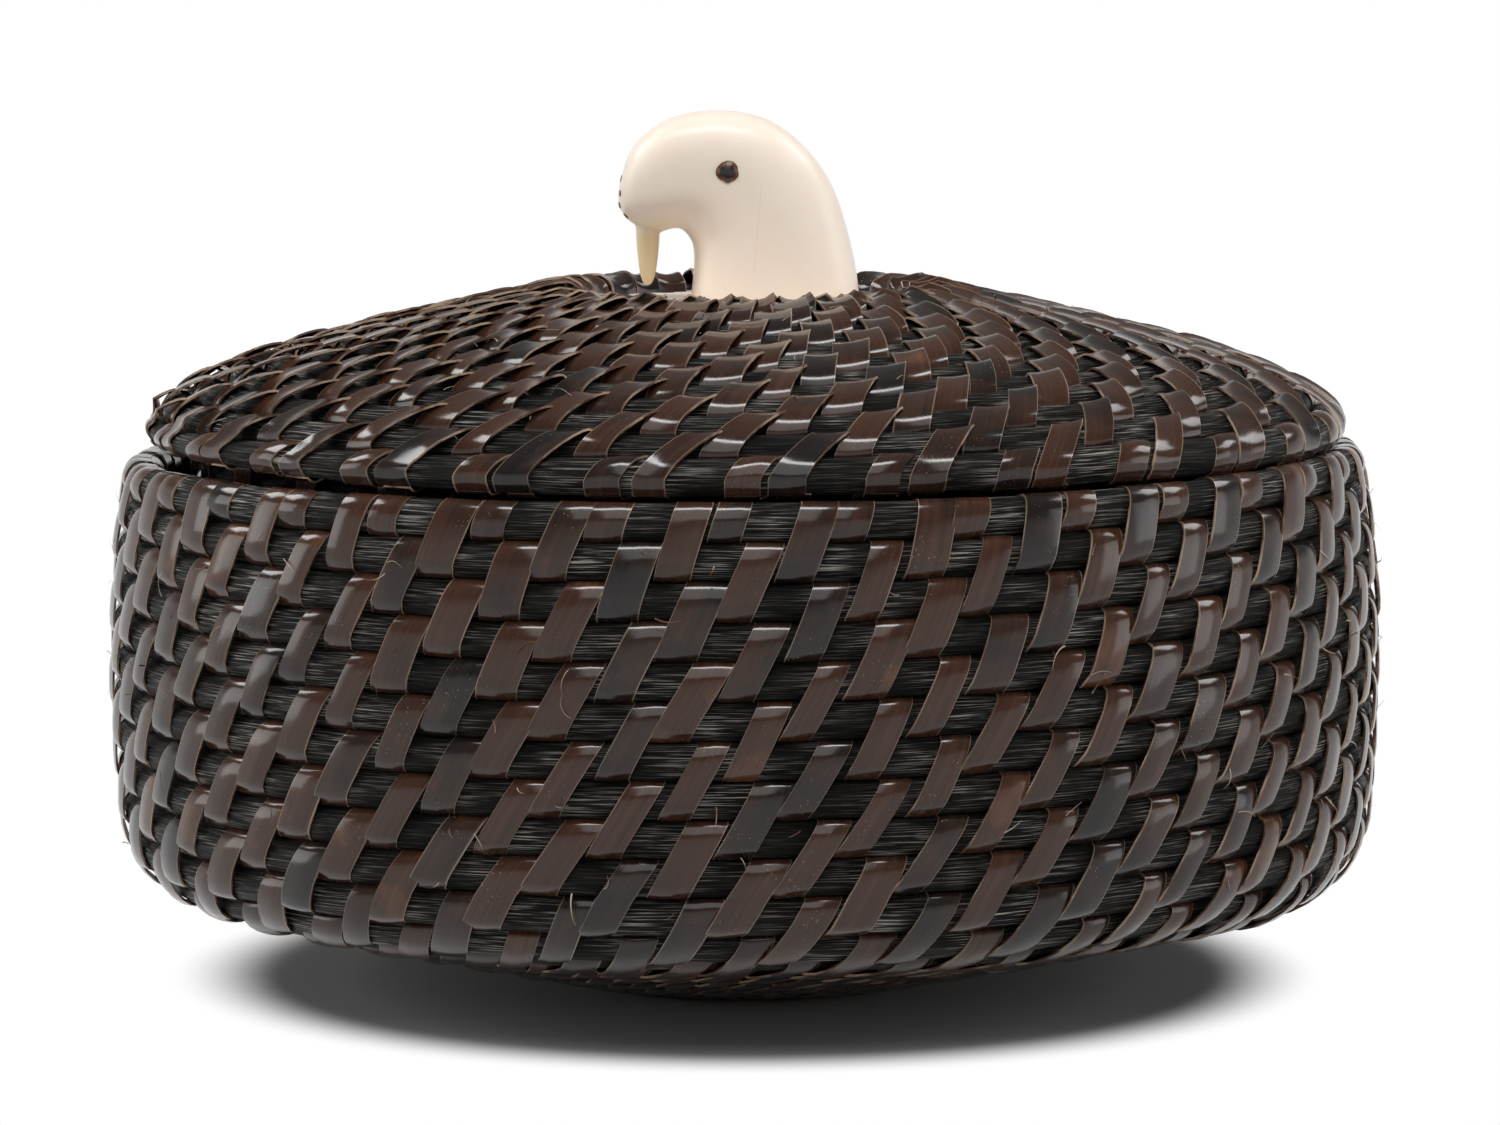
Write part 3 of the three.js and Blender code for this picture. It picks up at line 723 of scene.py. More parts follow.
# Materials
class NodeTree:
    """Adds nodes to a tree. What feeds a socket is a plain value or another node's output."""

    def __init__(self, tree):
        self.nodes = tree.nodes
        self.links = tree.links

    def feed(self, sockets, sources):
        for name, source in sources.items():
            if isinstance(source, bpy.types.NodeSocket):
                self.links.new(source, sockets[name])
            else:
                sockets[name].default_value = source

    def feed_shader(self, **sources):
        """Feeds the Principled BSDF, whose sockets are named here with _ for a space."""
        sockets = self.nodes["Principled BSDF"].inputs
        self.feed(sockets, {name.replace("_", " "): source for name, source in sources.items()})

    def add(self, kind, sources, **settings):
        node = self.nodes.new(f"ShaderNode{kind}")
        for name, value in settings.items():
            setattr(node, name, value)
        self.feed(node.inputs, sources)
        return node.outputs

    def maths(self, operation, *sources):
        return self.add("Math", dict(enumerate(sources)), operation=operation)["Value"]

    def vector_maths(self, operation, *sources):
        return self.add("VectorMath", dict(enumerate(sources)), operation=operation)["Vector"]

    def object_place(self):
        return self.add("TexCoord", {})["Object"]

    def attribute(self, name):
        return self.add("Attribute", {}, attribute_name=name)["Fac"]

    def clouds(self, vector, scale, detail=PLAIN_DETAIL):
        """Soft noise, from 0 to 1."""
        return self.add("TexNoise", {"Vector": vector, "Scale": scale, "Detail": detail})["Fac"]

    def ramp(self, source, stops):
        """A colour or a grey at each stop, and all between them."""
        node = self.nodes.new("ShaderNodeValToRGB")
        elements = node.color_ramp.elements
        while len(elements) < len(stops):
            elements.new(1.0)
        for element, (place, value) in zip(elements, stops):
            element.position = place
            element.color = value if hasattr(value, "__len__") else (value, value, value, 1)
        self.feed(node.inputs, {"Fac": source})
        return node.outputs["Color"]

    def mix(self, factor, first, second, blend="MIX"):
        """From the first colour to the second. A Mix node's sockets for colours have no names."""
        sources = {0: factor, 6: first, 7: second}
        return self.add("Mix", sources, data_type="RGBA", blend_type=blend)[2]

    def mapped(self, source, zero_at, one_at, low=0.0, high=1.0, ease="LINEAR"):
        """From low to high between two values of the source."""
        limits = {"From Min": zero_at, "From Max": one_at, "To Min": low, "To Max": high}
        sources = {"Value": source, **limits}
        return self.add("MapRange", sources, interpolation_type=ease)["Result"]

    def bump(self, height, strength, distance):
        sources = {"Height": height, "Strength": strength, "Distance": distance}
        return self.add("Bump", sources)["Normal"]

    def fibres(self, vector, scale_x, scale_y, offset=0.0):
        """The fine and the broad fibres, from the shared group."""
        sources = {"Vector": vector, "Scale X": scale_x, "Scale Y": scale_y, "Offset": offset}
        made = self.add("Group", sources, node_tree=fibre_group())
        return made["Fibre"], made["Broad"]

    def seen_rays(self, gloss_share=1.0):
        """1 for what the camera, a gloss or a glass sees. The share fades it for gloss."""
        rays = self.add("LightPath", {})
        glossy = self.maths("MULTIPLY", rays["Is Glossy Ray"], gloss_share)
        shown = self.maths("MAXIMUM", rays["Is Camera Ray"], rays["Is Transmission Ray"])
        return self.maths("MAXIMUM", shown, glossy)


def shared_group(name, inputs, outputs):
    """A new shader node group with named sockets: its tree, what comes in and what goes out."""
    group = bpy.data.node_groups.new(name, "ShaderNodeTree")
    for socket, kind, default in inputs:
        made = group.interface.new_socket(name=socket, in_out="INPUT", socket_type=f"NodeSocket{kind}")
        if default is not None:
            made.default_value = default
    for socket in outputs:
        group.interface.new_socket(name=socket, in_out="OUTPUT", socket_type="NodeSocketFloat")
    entry = group.nodes.new("NodeGroupInput").outputs
    leave = group.nodes.new("NodeGroupOutput").inputs
    return group, entry, leave


def fibre_group():
    """Long fibres, fine and broad: values of 0 to 1 from noise that is stretched along X or Y."""
    name = "Fibres"
    if name in bpy.data.node_groups:
        return bpy.data.node_groups[name]
    inputs = [
        ("Vector", "Vector", None),
        ("Scale X", "Float", 1.0),
        ("Scale Y", "Float", 1.0),
        ("Offset", "Float", 0.0),
    ]
    group, entry, leave = shared_group(name, inputs, ["Fibre", "Broad"])
    tree = NodeTree(group)
    stretch = tree.add("CombineXYZ", {"X": entry["Scale X"], "Y": entry["Scale Y"]})["Vector"]
    scaled = tree.vector_maths("MULTIPLY", entry["Vector"], stretch)
    moved = tree.vector_maths("ADD", scaled, tree.maths("MULTIPLY", entry["Offset"], FIBRE_SPREAD))
    tree.feed(leave, {
        "Fibre": tree.clouds(moved, FINE_FIBRE_SCALE, FINE_DETAIL),
        "Broad": tree.clouds(moved, BROAD_FIBRE_SCALE),
    })
    return group


def dust_group():
    """Small specks in drifts: a mask of 0 to 1."""
    name = "Dust"
    if name in bpy.data.node_groups:
        return bpy.data.node_groups[name]
    group, entry, leave = shared_group(name, [("Amount", "Float", DUST_SHARE)], ["Dust"])
    tree = NodeTree(group)
    place = tree.object_place()
    specks = tree.add("TexVoronoi", {"Vector": place, "Scale": SPECK_SCALE})["Distance"]
    dots = tree.ramp(specks, [(0.07, 1.0), (0.16, 0.0)])
    drifts = tree.ramp(tree.clouds(place, DRIFT_SCALE, FINE_DETAIL), [(0.55, 0.0), (0.70, 1.0)])
    dust = tree.maths("MULTIPLY", tree.maths("MULTIPLY", dots, drifts), entry["Amount"])
    tree.feed(leave, {"Dust": dust})
    return group


def material_named(name, paint, *details):
    """The material of that name, painted the first time that it is asked for."""
    if name in bpy.data.materials:
        return bpy.data.materials[name]
    material = bpy.data.materials.new(name)
    material.use_nodes = True
    paint(NodeTree(material.node_tree), *details)
    return material


def paint_splint(tree, colours):
    """Glossy baleen: each strip its own brown or black, with fine lengthwise grain and pale edges."""
    strip = tree.add("UVMap", {}, uv_map="StripUV")["UV"]
    fibre, broad = tree.fibres(strip, SPLINT_FIBRES_ACROSS, SPLINT_FIBRES_ALONG, tree.attribute("seed"))
    toned = tree.maths("MULTIPLY_ADD", tree.attribute("tone"), TONE_SHARE, TONE_START)
    patch = tree.clouds(tree.object_place(), SPLINT_PATCH_SCALE, PATCH_DETAIL)
    mottled = tree.maths("MULTIPLY_ADD", patch, PATCH_SHARE, toned)
    hue = tree.ramp(mottled, [
        (0.0, colours.splint_dark[:]), (0.12, colours.splint_dark[:]), (0.55, colours.splint_brown[:]),
        (0.88, colours.splint_brown[:]), (1.0, colours.splint_red[:]),
    ])
    shade = tree.ramp(broad, [(0.25, 0.6), (0.5, 0.9), (0.75, 1.2)])
    grained = tree.mix(1.0, hue, shade, "MULTIPLY")
    across = tree.add("SeparateXYZ", {"Vector": strip})["X"]
    side = tree.maths("ABSOLUTE", tree.maths("SUBTRACT", across, UNIT_HALF))
    ragged = tree.maths("MULTIPLY_ADD", broad, RAGGED_SHARE, side)
    edge = tree.ramp(ragged, [(0.522, 0.0), (0.556, 0.65)])
    edged = tree.mix(edge, grained, colours.splint_edge[:])
    dust = tree.add("Group", {}, node_tree=dust_group())["Dust"]
    tree.feed_shader(
        Base_Color=tree.mix(dust, edged, colours.dust[:]),
        Roughness=tree.ramp(fibre, [(0.3, 0.10), (0.75, 0.21)]),
        Specular_IOR_Level=0.42,
        Normal=tree.bump(fibre, SPLINT_GRAIN_STRENGTH, SPLINT_GRAIN_DEPTH),
    )


def paint_splint_edge(tree, colours):
    """The cut edge of a splint: pale, dull and fibrous."""
    grain = tree.clouds(tree.object_place(), FIBRE_END_SCALE, EDGE_DETAIL)
    colour = tree.ramp(grain, [
        (0.38, colours.splint_brown[:]), (0.46, colours.splint_red[:]), (0.58, colours.splint_edge[:]),
    ])
    tree.feed_shader(Base_Color=colour, Roughness=0.7)


def paint_fray(tree, colours):
    """Dry pale fibre."""
    grain = tree.clouds(tree.object_place(), FIBRE_END_SCALE)
    colour = tree.ramp(grain, [
        (0.4, colours.splint_red[:]), (0.5, colours.splint_edge[:]), (0.62, colours.dust[:]),
    ])
    tree.feed_shader(Base_Color=colour, Roughness=0.8)


def paint_rod(tree, colours):
    """Black fibrous rod with paler streaks along its length."""
    run_of_rod = tree.add("UVMap", {}, uv_map="RodUV")["UV"]
    fibre, broad = tree.fibres(run_of_rod, ROD_FIBRES_ALONG, ROD_FIBRES_ROUND)
    patch = tree.clouds(tree.object_place(), ROD_PATCH_SCALE, FINE_DETAIL)
    worn = tree.ramp(patch, [(0.38, 0.10), (0.53, 0.5), (0.63, 1.0)])
    streak = tree.ramp(fibre, [(0.52, 0.0), (0.58, 0.5), (0.64, 1.0)])
    tree.feed_shader(
        Base_Color=tree.mix(tree.maths("MULTIPLY", streak, worn), colours.rod[:], colours.rod_fibre[:]),
        Roughness=tree.ramp(broad, [(0.35, 0.34), (0.7, 0.65)]),
        Specular_IOR_Level=0.09,
        Normal=tree.bump(fibre, ROD_GRAIN_STRENGTH, ROD_GRAIN_DEPTH),
    )


def paint_ivory(tree, colours, fresh):
    """Polished ivory: warm white, a little translucent, with faint growth lines. Returns its colour."""
    growth = tree.clouds(tree.object_place(), GROWTH_SCALE, PATCH_DETAIL)
    colour = tree.mix(tree.ramp(growth, [(0.45, 0.0), (0.8, 0.35)]), fresh[:], colours.ivory_aged[:])
    tree.feed_shader(
        Base_Color=colour,
        Roughness=0.3,
        Specular_IOR_Level=0.3,
        Subsurface_Weight=0.35,
        Subsurface_Radius=(0.9, 0.6, 0.4),
        Subsurface_Scale=IVORY_GLOW_DEPTH,
    )
    return colour


def paint_carved_ivory(tree, colours, head):
    """The head's ivory: yellower in the tusks, with one fine age crack down its photographed side."""
    # Its base colour is the darker copy of the ivory: painted shade on the head
    plain = paint_ivory(tree, colours, colours.ivory_head_painted_shade)
    place = tree.object_place()
    parts = tree.add("SeparateXYZ", {"Vector": place})
    lip = head.point(TUSK_ROOT_SHARES)
    low = tree.mapped(parts["Z"], lip.z + TUSK_YELLOWING, lip.z - TUSK_YELLOWING)
    fore = tree.mapped(parts["X"], lip.x + 2 * TUSK_YELLOWING, lip.x + TUSK_YELLOWING)
    yellowed = tree.mix(tree.maths("MULTIPLY", low, fore), plain, colours.ivory_aged[:])
    top, bottom = head.point(CRACK_TOP_SHARES), head.point(CRACK_BOTTOM_SHARES)
    lean = (top.x - bottom.x) / (top.z - bottom.z)
    slanted = tree.maths("MULTIPLY_ADD", parts["Z"], -lean, parts["X"])
    wander = tree.clouds(place, CRACK_WANDER_SCALE)
    wandering = tree.maths("MULTIPLY_ADD", wander, 2 * CRACK_WIDTH, slanted)
    offset = tree.maths("SUBTRACT", wandering, top.x - lean * top.z + CRACK_WIDTH)
    crack = tree.mapped(tree.maths("ABSOLUTE", offset), CRACK_WIDTH, 0)
    for limit in (
        tree.mapped(parts["Z"], top.z, top.z - CRACK_FADE),
        tree.mapped(parts["Z"], bottom.z, bottom.z + CRACK_FADE),
        tree.mapped(parts["Y"], 0, -CRACK_WIDTH),
    ):
        crack = tree.maths("MULTIPLY", crack, limit)
    faint = tree.maths("MULTIPLY", crack, CRACK_SHARE)
    tree.feed_shader(Base_Color=tree.mix(faint, yellowed, colours.ivory_aged[:]))


def paint_inlay(tree, colours):
    """Dark baleen plug, brown where it meets the ivory."""
    grain = tree.clouds(tree.object_place(), INLAY_GRAIN_SCALE)
    worn = tree.maths("MULTIPLY_ADD", grain, INLAY_GRAIN_SHARE, tree.attribute("rim"))
    colour = tree.ramp(worn, [(0.98, colours.inlay[:]), (1.0, colours.inlay_rim[:])])
    tree.feed_shader(Base_Color=colour, Roughness=0.35)


# Operators, one for each piece or group of like pieces
class BASKET_OT_rods(bpy.types.Operator):
    """Wind the rods of the underside, the wall, the lid and its flange"""

    bl_idname = "basket.rods"
    bl_label = "Wind the rods"

    def execute(self, context):
        settings = context.scene.coiled_basket
        material = material_named("Baleen rod", paint_rod, settings.colours)
        basket = basket_coil(settings)
        lid = lid_coil(settings)
        flange = flange_coil(settings)
        taper = settings.rod.start_taper_turns
        runs = [
            ("underside_rod", "basket", basket, -taper, basket.underside_turns, "base_coil"),
            ("wall_rod", "basket", basket, basket.underside_turns, basket.turns, "wall_coil"),
            ("lid_rod", "lid", lid, -taper, lid.turns, "lid_coil"),
            ("flange_rod", "lid", flange, -taper, flange.turns, "lid_flange_coil"),
        ]
        for name, body, coil, first, last, node in runs:
            finish_piece(wind_rod(coil, first, last), name, body, [material], [node])
        return {"FINISHED"}


def splint_materials(colours):
    """A splint's face, and its cut edge, which the strips' thickness takes."""
    return [
        material_named("Baleen splint", paint_splint, colours),
        material_named("Baleen splint edge", paint_splint_edge, colours),
    ]


class BASKET_OT_basket_splints(bpy.types.Operator):
    """Sew the basket's underside, wall and rim"""

    bl_idname = "basket.basket_splints"
    bl_label = "Sew the basket"

    def execute(self, context):
        settings = context.scene.coiled_basket
        materials = splint_materials(settings.colours)
        coil = basket_coil(settings)
        splint = settings.splint

        def slant_at(turns):
            """The stitches lean more towards the foot of the wall."""
            share = (coil.turns - turns - 1) / (coil.turns - coil.underside_turns)
            return eased(splint.slant_share, splint.foot_slant_share, share, WALL_SLANT_EASE)

        made = (coil, splint, splint.basket_stitches, slant_at)
        underside = UndersideSewing("underside_splints", *made)
        wall = Sewing("wall_splints", *made)
        rim = Sewing("rim_wraps", *made)
        for turns in wall.places(0.0):
            sewing = underside if turns < coil.underside_turns else wall
            sewing.stitch(turns, BASE_DISC_EDGE)
            if turns > coil.turns - 1:
                rim.wrap(turns)
        splinted = [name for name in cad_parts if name.startswith("wall_splints")]
        underside.piece("basket", materials)
        wall.piece("basket", materials, sorted(splinted))
        rim.piece("basket", materials)
        return {"FINISHED"}


class BASKET_OT_lid_splints(bpy.types.Operator):
    """Sew the lid, its edge and its flange"""

    bl_idname = "basket.lid_splints"
    bl_label = "Sew the lid"

    def execute(self, context):
        settings = context.scene.coiled_basket
        materials = splint_materials(settings.colours)
        coil = lid_coil(settings)
        splint = settings.splint

        def slant_at(turns):
            """The stitches lean more towards the lid's edge."""
            share = turns / coil.turns
            return eased(splint.disc_slant_share, splint.edge_slant_share, share, LID_SLANT_EASE)

        made = (splint, splint.lid_stitches, slant_at)
        dome = DomeSewing("lid_splints", coil, *made)
        edge = EdgeSewing("lid_edge_wraps", coil, *made)
        flange = Sewing("flange_splints", flange_coil(settings), *made)
        for turns in dome.places(0.0):
            dome.stitch(turns, LID_DISC_EDGE)
            if turns > coil.turns - 1:
                edge.wrap(turns)
        for turns in flange.places(FLANGE_FIRST_STITCH):
            flange.stitch(turns)
        for sewing in (dome, edge, flange):
            sewing.piece("lid", materials)
        return {"FINISHED"}


def fray(bm, coil, turns, sizes, draw):
    """One sliver of fibre, curling off the sewing."""
    length = sizes.fray_length * draw.uniform(*FRAY_LENGTH_DRAW_SHARES)
    width = sizes.fray_width * draw.uniform(*FRAY_WIDTH_DRAW_SHARES)
    heading = draw.uniform(0, TAU)
    bend = draw.uniform(*FRAY_BEND_DRAW)
    rise = length * draw.uniform(*FRAY_RISE_DRAW_SHARES)
    rows = draw.uniform(*FRAY_ROWS_DRAW)
    grid = bmesh.ops.create_grid(bm, x_segments=1, y_segments=FRAY_STEPS, size=UNIT_HALF)
    for vertex in grid["verts"]:
        along = vertex.co.y + UNIT_HALF
        turned = heading + bend * along
        aside = length * along * math.cos(turned)
        climb = length * along * math.sin(turned)
        thin = width * (1 - FRAY_TAPER_SHARE * along) * vertex.co.x
        out = sizes.fray_seat + rise * math.sin(along * TAU / 3)
        distance = (turns + rows) * coil.rod.row_pitch + climb + thin * math.cos(turned)
        vertex.co = coil.place(turns, distance, out, aside - thin * math.sin(turned))


class BASKET_OT_frays(bpy.types.Operator):
    """Add frayed slivers of fibre to the basket and the lid"""

    bl_idname = "basket.frays"
    bl_label = "Fray the sewing"

    def execute(self, context):
        settings = context.scene.coiled_basket
        sizes = settings.splint
        material = material_named("Frayed fibre", paint_fray, settings.colours)
        basket = basket_coil(settings)
        lid = lid_coil(settings)
        for name, body, coil, first, count, crowd in (
            ("basket_frays", "basket", basket, basket.underside_turns, sizes.basket_frays, EVEN_CROWD),
            ("lid_frays", "lid", lid, 1.0, sizes.lid_frays, DISC_CROWD),
        ):
            draw = random.Random(count)
            bm = bmesh.new()
            for _ in range(count):
                turns = first + (coil.turns - 1 - first) * draw.random() ** crowd
                fray(bm, coil, turns, sizes, draw)
            finish_piece(bm, name, body, [material])
        return {"FINISHED"}


# Walrus head: each row gives a section's outer end and its throat end, forwards from the back of
# the base as a share of the head's length and upwards as a share of its height, and its depth share
HEAD_SECTION_SHARES = [
    ((0.0, 0.0), (0.70, 0.0), 0.98),
    ((0.015, 0.16), (0.687, 0.145), 0.97),
    ((0.05, 0.36), (0.69, 0.285), 0.96),
    ((0.107, 0.58), (0.727, 0.362), 0.95),
    ((0.204, 0.775), (0.75, 0.374), 0.94),
    ((0.365, 0.942), (0.77, 0.375), 0.93),
    ((0.56, 1.0), (0.796, 0.366), 0.92),
    ((0.757, 0.972), (0.823, 0.355), 0.9),
    ((0.887, 0.878), (0.865, 0.36), 0.86),
    ((0.952, 0.778), (0.917, 0.386), 0.77),
    ((0.985, 0.65), (0.968, 0.43), 0.58),
    ((0.999, 0.57), (0.996, 0.49), 0.25),
]
TUSK_ROOT_SHARES = (0.876, 0.386)
TUSK_SHARES = [(0.0, 1.0), (0.3, 0.94), (0.6, 0.80), (0.83, 0.62), (0.95, 0.42), (1.0, 0.16)]
TUSK_YELLOWING = 0.0011
CRACK_TOP_SHARES = (0.405, 0.635)
CRACK_BOTTOM_SHARES = (0.437, 0.14)
CRACK_WIDTH = 0.00007
CRACK_FADE = 4 * CRACK_WIDTH
EYE_SHARES = (0.546, 0.686)
WHISKER_SHARES = [(0.64, 0.3), (0.565, 0.44), (0.5, 0.3), (0.445, 0.42)]


class HeadFrame:
    """Where the head's shares lie, from the CAD head's box."""

    def __init__(self):
        low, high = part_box("walrus_head")
        self.back = high.x
        self.base = low.z
        self.length = high.x - low.x
        self.height = high.z - low.z
        self.depth = high.y - low.y

    def point(self, shares):
        forward, up = shares
        return Vector((self.back - forward * self.length, 0, self.base + up * self.height))


def between(rows, place):
    """A smooth curve through a column of values, at a place from 0 to 1."""
    scaled = place * (len(rows) - 1)
    index = min(int(scaled), len(rows) - 2)
    share = scaled - index
    before = rows[max(index - 1, 0)]
    first, second = rows[index], rows[index + 1]
    after = rows[min(index + 2, len(rows) - 1)]
    total = 2 * first + (second - before) * share
    total += (2 * before - 5 * first + 4 * second - after) * share ** 2
    total += (3 * first - before - 3 * second + after) * share ** 3
    return total / 2


def add_loft(bm, rings):
    """A closed skin through rings of points: a circle, extruded from ring to ring and capped."""
    circle = bmesh.ops.create_circle(bm, cap_ends=True, segments=len(rings[0]), radius=1)
    verts = circle["verts"]
    for vertex, point in zip(verts, rings[0]):
        vertex.co = point
    edges = [edge for edge in bm.edges if all(vertex in verts for vertex in edge.verts)]
    for ring in rings[1:]:
        grown = bmesh.ops.extrude_edge_only(bm, edges=edges)
        made = [item for item in grown["geom"] if isinstance(item, bmesh.types.BMVert)]
        edges = [
            item for item in grown["geom"]
            if isinstance(item, bmesh.types.BMEdge) and all(vertex in made for vertex in item.verts)
        ]
        partner = {}
        for vertex in made:
            for edge in vertex.link_edges:
                other = edge.other_vert(vertex)
                if other in verts:
                    partner[other] = vertex
        verts = [partner[vertex] for vertex in verts]
        for vertex, point in zip(verts, ring):
            vertex.co = point
    bmesh.ops.contextual_create(bm, geom=edges)


def head_rings(head, sizes):
    rings = []
    outer = [head.point(row[0]) for row in HEAD_SECTION_SHARES]
    throat = [head.point(row[1]) for row in HEAD_SECTION_SHARES]
    depths = [row[2] for row in HEAD_SECTION_SHARES]
    for section in range(sizes.sections + 1):
        place = section / sizes.sections
        outer_end = between(outer, place)
        throat_end = between(throat, place)
        middle = (outer_end + throat_end) / 2
        reach = (outer_end - throat_end) / 2
        half_depth = between(depths, place) * head.depth / 2
        ring = []
        for side in range(sizes.sides):
            angle = TAU * side / sizes.sides
            point = middle + reach * rounded(math.cos(angle), sizes.squareness)
            point.y = half_depth * rounded(math.sin(angle), sizes.squareness)
            ring.append(point)
        rings.append(ring)
    return rings


def tusk_rings(head, sizes, side):
    root = head.point(TUSK_ROOT_SHARES)
    rings = []
    for down, width in [(-sizes.tusk_root_depth / sizes.tusk_length, 1.0)] + TUSK_SHARES:
        ring = []
        for corner in range(sizes.sides):
            angle = TAU * corner / sizes.sides
            radius = width * sizes.tusk_root / 2
            ring.append(Vector((
                root.x + radius * math.cos(angle),
                side * sizes.tusk_spacing / 2 + radius * math.sin(angle),
                root.z - down * sizes.tusk_length,
            )))
        rings.append(ring)
    return rings


def apply_modifiers(piece):
    """Bakes a piece's modifiers into its mesh."""
    bpy.context.view_layer.update()
    graph = bpy.context.evaluated_depsgraph_get()
    mesh = bpy.data.meshes.new_from_object(piece.evaluated_get(graph))
    old = piece.data
    piece.modifiers.clear()
    piece.data = mesh
    mesh.name = piece.name
    bpy.data.meshes.remove(old)


def plug(place, normal, radius, sizes):
    """A round plug with a worn outline, sunk into the skin and standing a little proud of it."""
    bm = bmesh.new()
    rim = bm.verts.layers.float.new("rim")
    bmesh.ops.create_cone(
        bm, cap_ends=True, cap_tris=True, segments=sizes.sides, radius1=radius, radius2=radius,
        depth=sizes.inlay_depth,
    )
    for vertex in bm.verts:
        across = Vector((vertex.co.x, vertex.co.y))
        vertex[rim] = across.length / radius
        worn = 1 + sizes.inlay_wear_share * noise.noise((place + vertex.co * 2) / radius)
        vertex.co.x *= worn
        vertex.co.y *= worn
    turn = normal.to_track_quat("Z", "Y").to_matrix()
    bmesh.ops.rotate(bm, verts=bm.verts, cent=(0, 0, 0), matrix=turn)
    seat = place + normal * (sizes.inlay_stand - sizes.inlay_depth / 2)
    bmesh.ops.translate(bm, verts=bm.verts, vec=seat)
    return bm


class BASKET_OT_head(bpy.types.Operator):
    """Carve the walrus head with its tusks, and inlay its eyes and whiskers"""

    bl_idname = "basket.head"
    bl_label = "Carve the head"

    def execute(self, context):
        settings = context.scene.coiled_basket
        sizes = settings.head
        head = HeadFrame()
        bm = bmesh.new()
        add_loft(bm, head_rings(head, sizes))
        for side in (-1, 1):
            add_loft(bm, tusk_rings(head, sizes, side))
        bmesh.ops.recalc_face_normals(bm, faces=bm.faces)
        # The head's material, whose darker ivory is painted shade
        ivory = material_named("Ivory, head with painted shade", paint_carved_ivory, settings.colours, head)
        piece = finish_piece(bm, "carved_head", "lid", [ivory], ["walrus_head"])
        skin = piece.modifiers.new("Skin", "REMESH")
        skin.mode = "VOXEL"
        skin.voxel_size = sizes.voxel
        skin.use_smooth_shade = True
        soften = piece.modifiers.new("Soften", "SMOOTH")
        soften.factor = SOFTEN_SHARE
        soften.iterations = SOFTEN_ROUNDS
        apply_modifiers(piece)
        self.inlay(settings, head, piece)
        return {"FINISHED"}

    def inlay(self, settings, head, carved):
        """Eyes and whiskers, each seated where a ray from outside meets the carved skin."""
        sizes = settings.head
        material = material_named("Baleen inlay", paint_inlay, settings.colours)
        far = head.length * 2
        seats = []
        for side_name, side in (("left", -1), ("right", 1)):
            eye = head.point(EYE_SHARES)
            eye.y = side * far
            inward = Vector((0, -side, 0))
            seats.append((f"{side_name}_eye", f"eye_{side_name}", eye, inward, sizes.eye_radius))
            for number, (up, aside) in enumerate(WHISKER_SHARES, 1):
                name = f"{side_name}_whisker_{number}"
                node = f"whisker_pin_{side_name}_{number}"
                start = Vector((-far, side * aside * head.depth / 2, head.point((0, up)).z))
                seats.append((name, node, start, Vector((1, 0, 0)), sizes.whisker_radius))
        for name, node, start, towards, radius in seats:
            found, place, normal, _ = carved.ray_cast(start, towards)
            if not found:
                raise RuntimeError(f"{name} misses the head")
            bm = plug(place, normal, radius, sizes)
            finish_piece(bm, name, "lid", [material], [node])


class BASKET_OT_discs(bpy.types.Operator):
    """Finish the two discs and the pegs, whose CAD shapes stay"""

    bl_idname = "basket.discs"
    bl_label = "Finish the discs"

    def execute(self, context):
        colours = context.scene.coiled_basket.colours
        material = material_named("Ivory", paint_ivory, colours, colours.ivory)
        for name in ("base_disc", "lid_disc", "finial_peg_front", "finial_peg_back"):
            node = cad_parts[name]
            node.data.materials.clear()
            node.data.materials.append(material)
        return {"FINISHED"}


# The lamps: a name, where it hangs, its width and height, all in metres, its watts, and whether
# reflections show it. A fill lights as its lamp does, and doesn't show in them
LAMPS = [
    ("Overhead", (0.0, -0.19, 0.70), 0.50, 0.12, 3.0, True),
    ("High left", (-0.64, 0.26, 0.66), 0.36, 0.26, 2.4, True),
    ("High right", (0.64, 0.26, 0.66), 0.36, 0.26, 1.7, True),
    ("High front", (0.0, -0.60, 0.71), 0.60, 0.66, 2.3, True),
    ("High front fill", (0.0, -0.60, 0.71), 0.60, 0.66, 3.0, False),
    ("Left", (-0.68, 0.0, 0.17), 0.32, 0.34, 0.9, True),
    ("Left fill", (-0.68, 0.0, 0.17), 0.20, 0.34, 0.9, False),
    ("Right", (0.68, -0.10, 0.17), 0.32, 0.34, 0.6, True),
    ("Right fill", (0.68, -0.10, 0.17), 0.20, 0.34, 1.0, False),
]


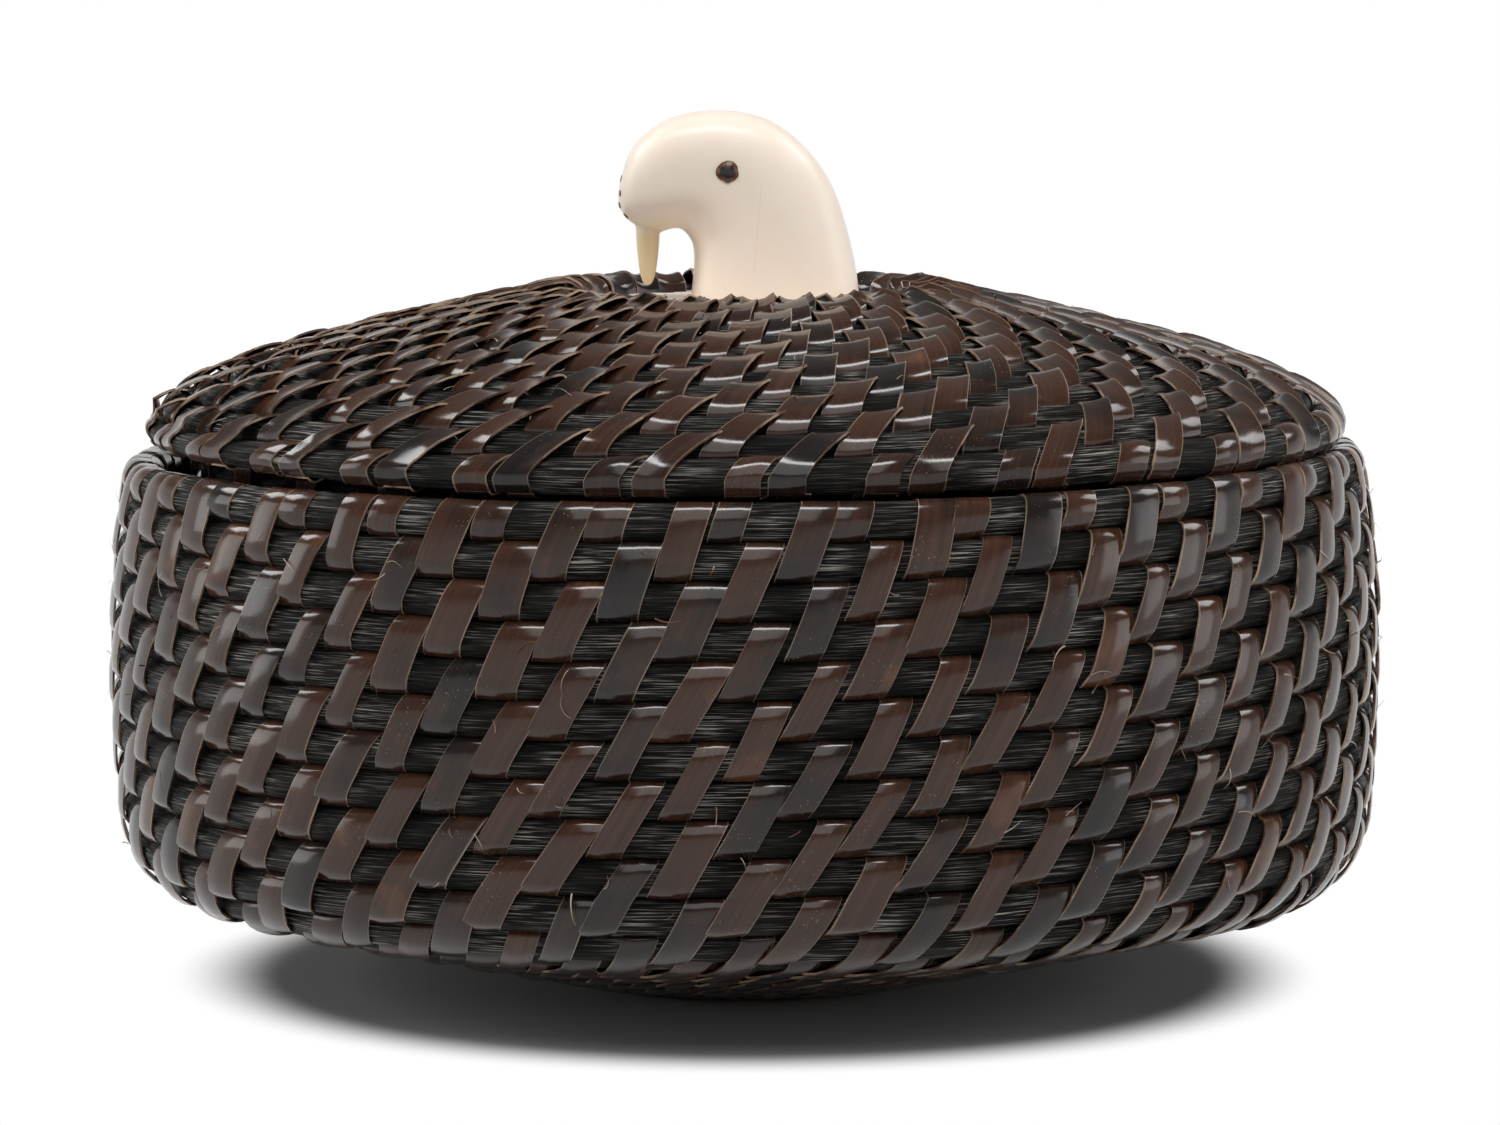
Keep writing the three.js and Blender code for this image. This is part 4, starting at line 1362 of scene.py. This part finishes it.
class BASKET_OT_stage(bpy.types.Operator):
    """Set the camera, the pale floor and the soft lamps"""

    bl_idname = "basket.stage"
    bl_label = "Set the stage"

    def execute(self, context):
        settings = context.scene.coiled_basket
        scene = context.scene
        scene.view_settings.view_transform = "Standard"
        self.camera(scene, settings.stage)
        self.floor(scene, settings)
        self.world(scene)
        for name, place, width, height, watts, glossy in LAMPS:
            lamp = bpy.data.lights.new(name, "AREA")
            lamp.shape = "RECTANGLE"
            lamp.size = width
            lamp.size_y = height
            lamp.energy = watts
            rig = bpy.data.objects.new(name, lamp)
            rig.location = place
            aim = Vector((0, 0, settings.basket.rim_height / 2)) - Vector(place)
            rig.rotation_euler = aim.to_track_quat("-Z", "Y").to_euler()
            rig.visible_glossy = glossy
            scene.collection.objects.link(rig)
        return {"FINISHED"}

    def camera(self, scene, sizes):
        """The photograph's camera, a little above the basket and level across."""
        camera = bpy.data.cameras.new("Camera")
        camera.sensor_width = sizes.sensor_width
        camera.lens = sizes.focal_pixels / sizes.photo_width * sizes.sensor_width
        camera.shift_x = 1 / 2 - sizes.axis_pixel / sizes.photo_width
        camera.clip_start = CLIP_START
        holder = bpy.data.objects.new("Camera", camera)
        holder.location = (0, -sizes.camera_distance, sizes.camera_height)
        holder.rotation_euler = (TAU / 4 - sizes.camera_pitch, 0, 0)
        scene.collection.objects.link(holder)
        scene.camera = holder

    def floor(self, scene, settings):
        """A flat floor that keeps the shadow and fades to plain white away from the basket."""
        bm = bmesh.new()
        bmesh.ops.create_grid(bm, x_segments=1, y_segments=1, size=settings.stage.floor_size)
        mesh = bpy.data.meshes.new("Floor")
        bm.to_mesh(mesh)
        bm.free()
        floor = bpy.data.objects.new("Floor", mesh)
        scene.collection.objects.link(floor)
        mesh.materials.append(material_named("Floor", paint_floor, settings))

    def world(self, scene):
        """White where the camera, a gloss or glass sees it, and a dim fill for everything else."""
        world = bpy.data.worlds.new("Studio")
        scene.world = world
        world.use_nodes = True
        tree = NodeTree(world.node_tree)
        height = tree.add("SeparateXYZ", {"Vector": tree.add("TexCoord", {})["Generated"]})["Z"]
        wall = tree.mapped(height, WALL_FADE_START, WALL_FADE_END, WALL_GLOSS, SKY_GLOSS, "SMOOTHSTEP")
        strength = tree.mapped(tree.seen_rays(wall), 0, 1, WORLD_FILL, 1)
        tree.feed(tree.nodes["Background"].inputs, {"Color": (1, 1, 1, 1), "Strength": strength})


def paint_floor(tree, settings):
    """Matt grey near the basket, which keeps its shadow, and plain white further out."""
    sizes = settings.stage
    tree.feed_shader(Base_Color=settings.colours.floor[:], Roughness=0.9, Specular_IOR_Level=0.0)
    away = tree.add("VectorMath", {0: tree.object_place()}, operation="LENGTH")["Value"]
    fade = tree.mapped(away, sizes.fade_start, sizes.fade_end, ease="SMOOTHSTEP")
    seen = tree.maths("MULTIPLY", fade, tree.seen_rays())
    grey = tree.nodes["Principled BSDF"].outputs["BSDF"]
    white = tree.add("Emission", {})["Emission"]
    blend = tree.add("MixShader", {"Fac": seen, 1: grey, 2: white})["Shader"]
    tree.feed(tree.nodes["Material Output"].inputs, {"Surface": blend})


OPERATORS = (
    BASKET_OT_rods,
    BASKET_OT_basket_splints,
    BASKET_OT_lid_splints,
    BASKET_OT_frays,
    BASKET_OT_head,
    BASKET_OT_discs,
    BASKET_OT_stage,
)


class BASKET_PT_panel(bpy.types.Panel):
    """Builds the basket piece by piece"""

    bl_label = "Coiled basket"
    bl_idname = "BASKET_PT_panel"
    bl_space_type = "VIEW_3D"
    bl_region_type = "UI"
    bl_category = "Basket"

    def draw(self, context):
        for operator in OPERATORS:
            self.layout.operator(operator.bl_idname)


GROUPS = (
    RodSizes,
    SplintSizes,
    BasketSizes,
    LidSizes,
    HeadSizes,
    BasketColours,
    StageSizes,
    CoiledBasket,
)


def register():
    for made in GROUPS + OPERATORS + (BASKET_PT_panel,):
        bpy.utils.register_class(made)
    bpy.types.Scene.coiled_basket = bpy.props.PointerProperty(type=CoiledBasket)


def unregister():
    del bpy.types.Scene.coiled_basket
    for made in reversed(GROUPS + OPERATORS + (BASKET_PT_panel,)):
        bpy.utils.unregister_class(made)


def main():
    register()
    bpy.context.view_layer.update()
    bpy.ops.basket.rods()
    bpy.ops.basket.basket_splints()
    bpy.ops.basket.lid_splints()
    bpy.ops.basket.frays()
    bpy.ops.basket.head()
    bpy.ops.basket.discs()
    bpy.ops.basket.stage()


if __name__ == "__main__":
    main()
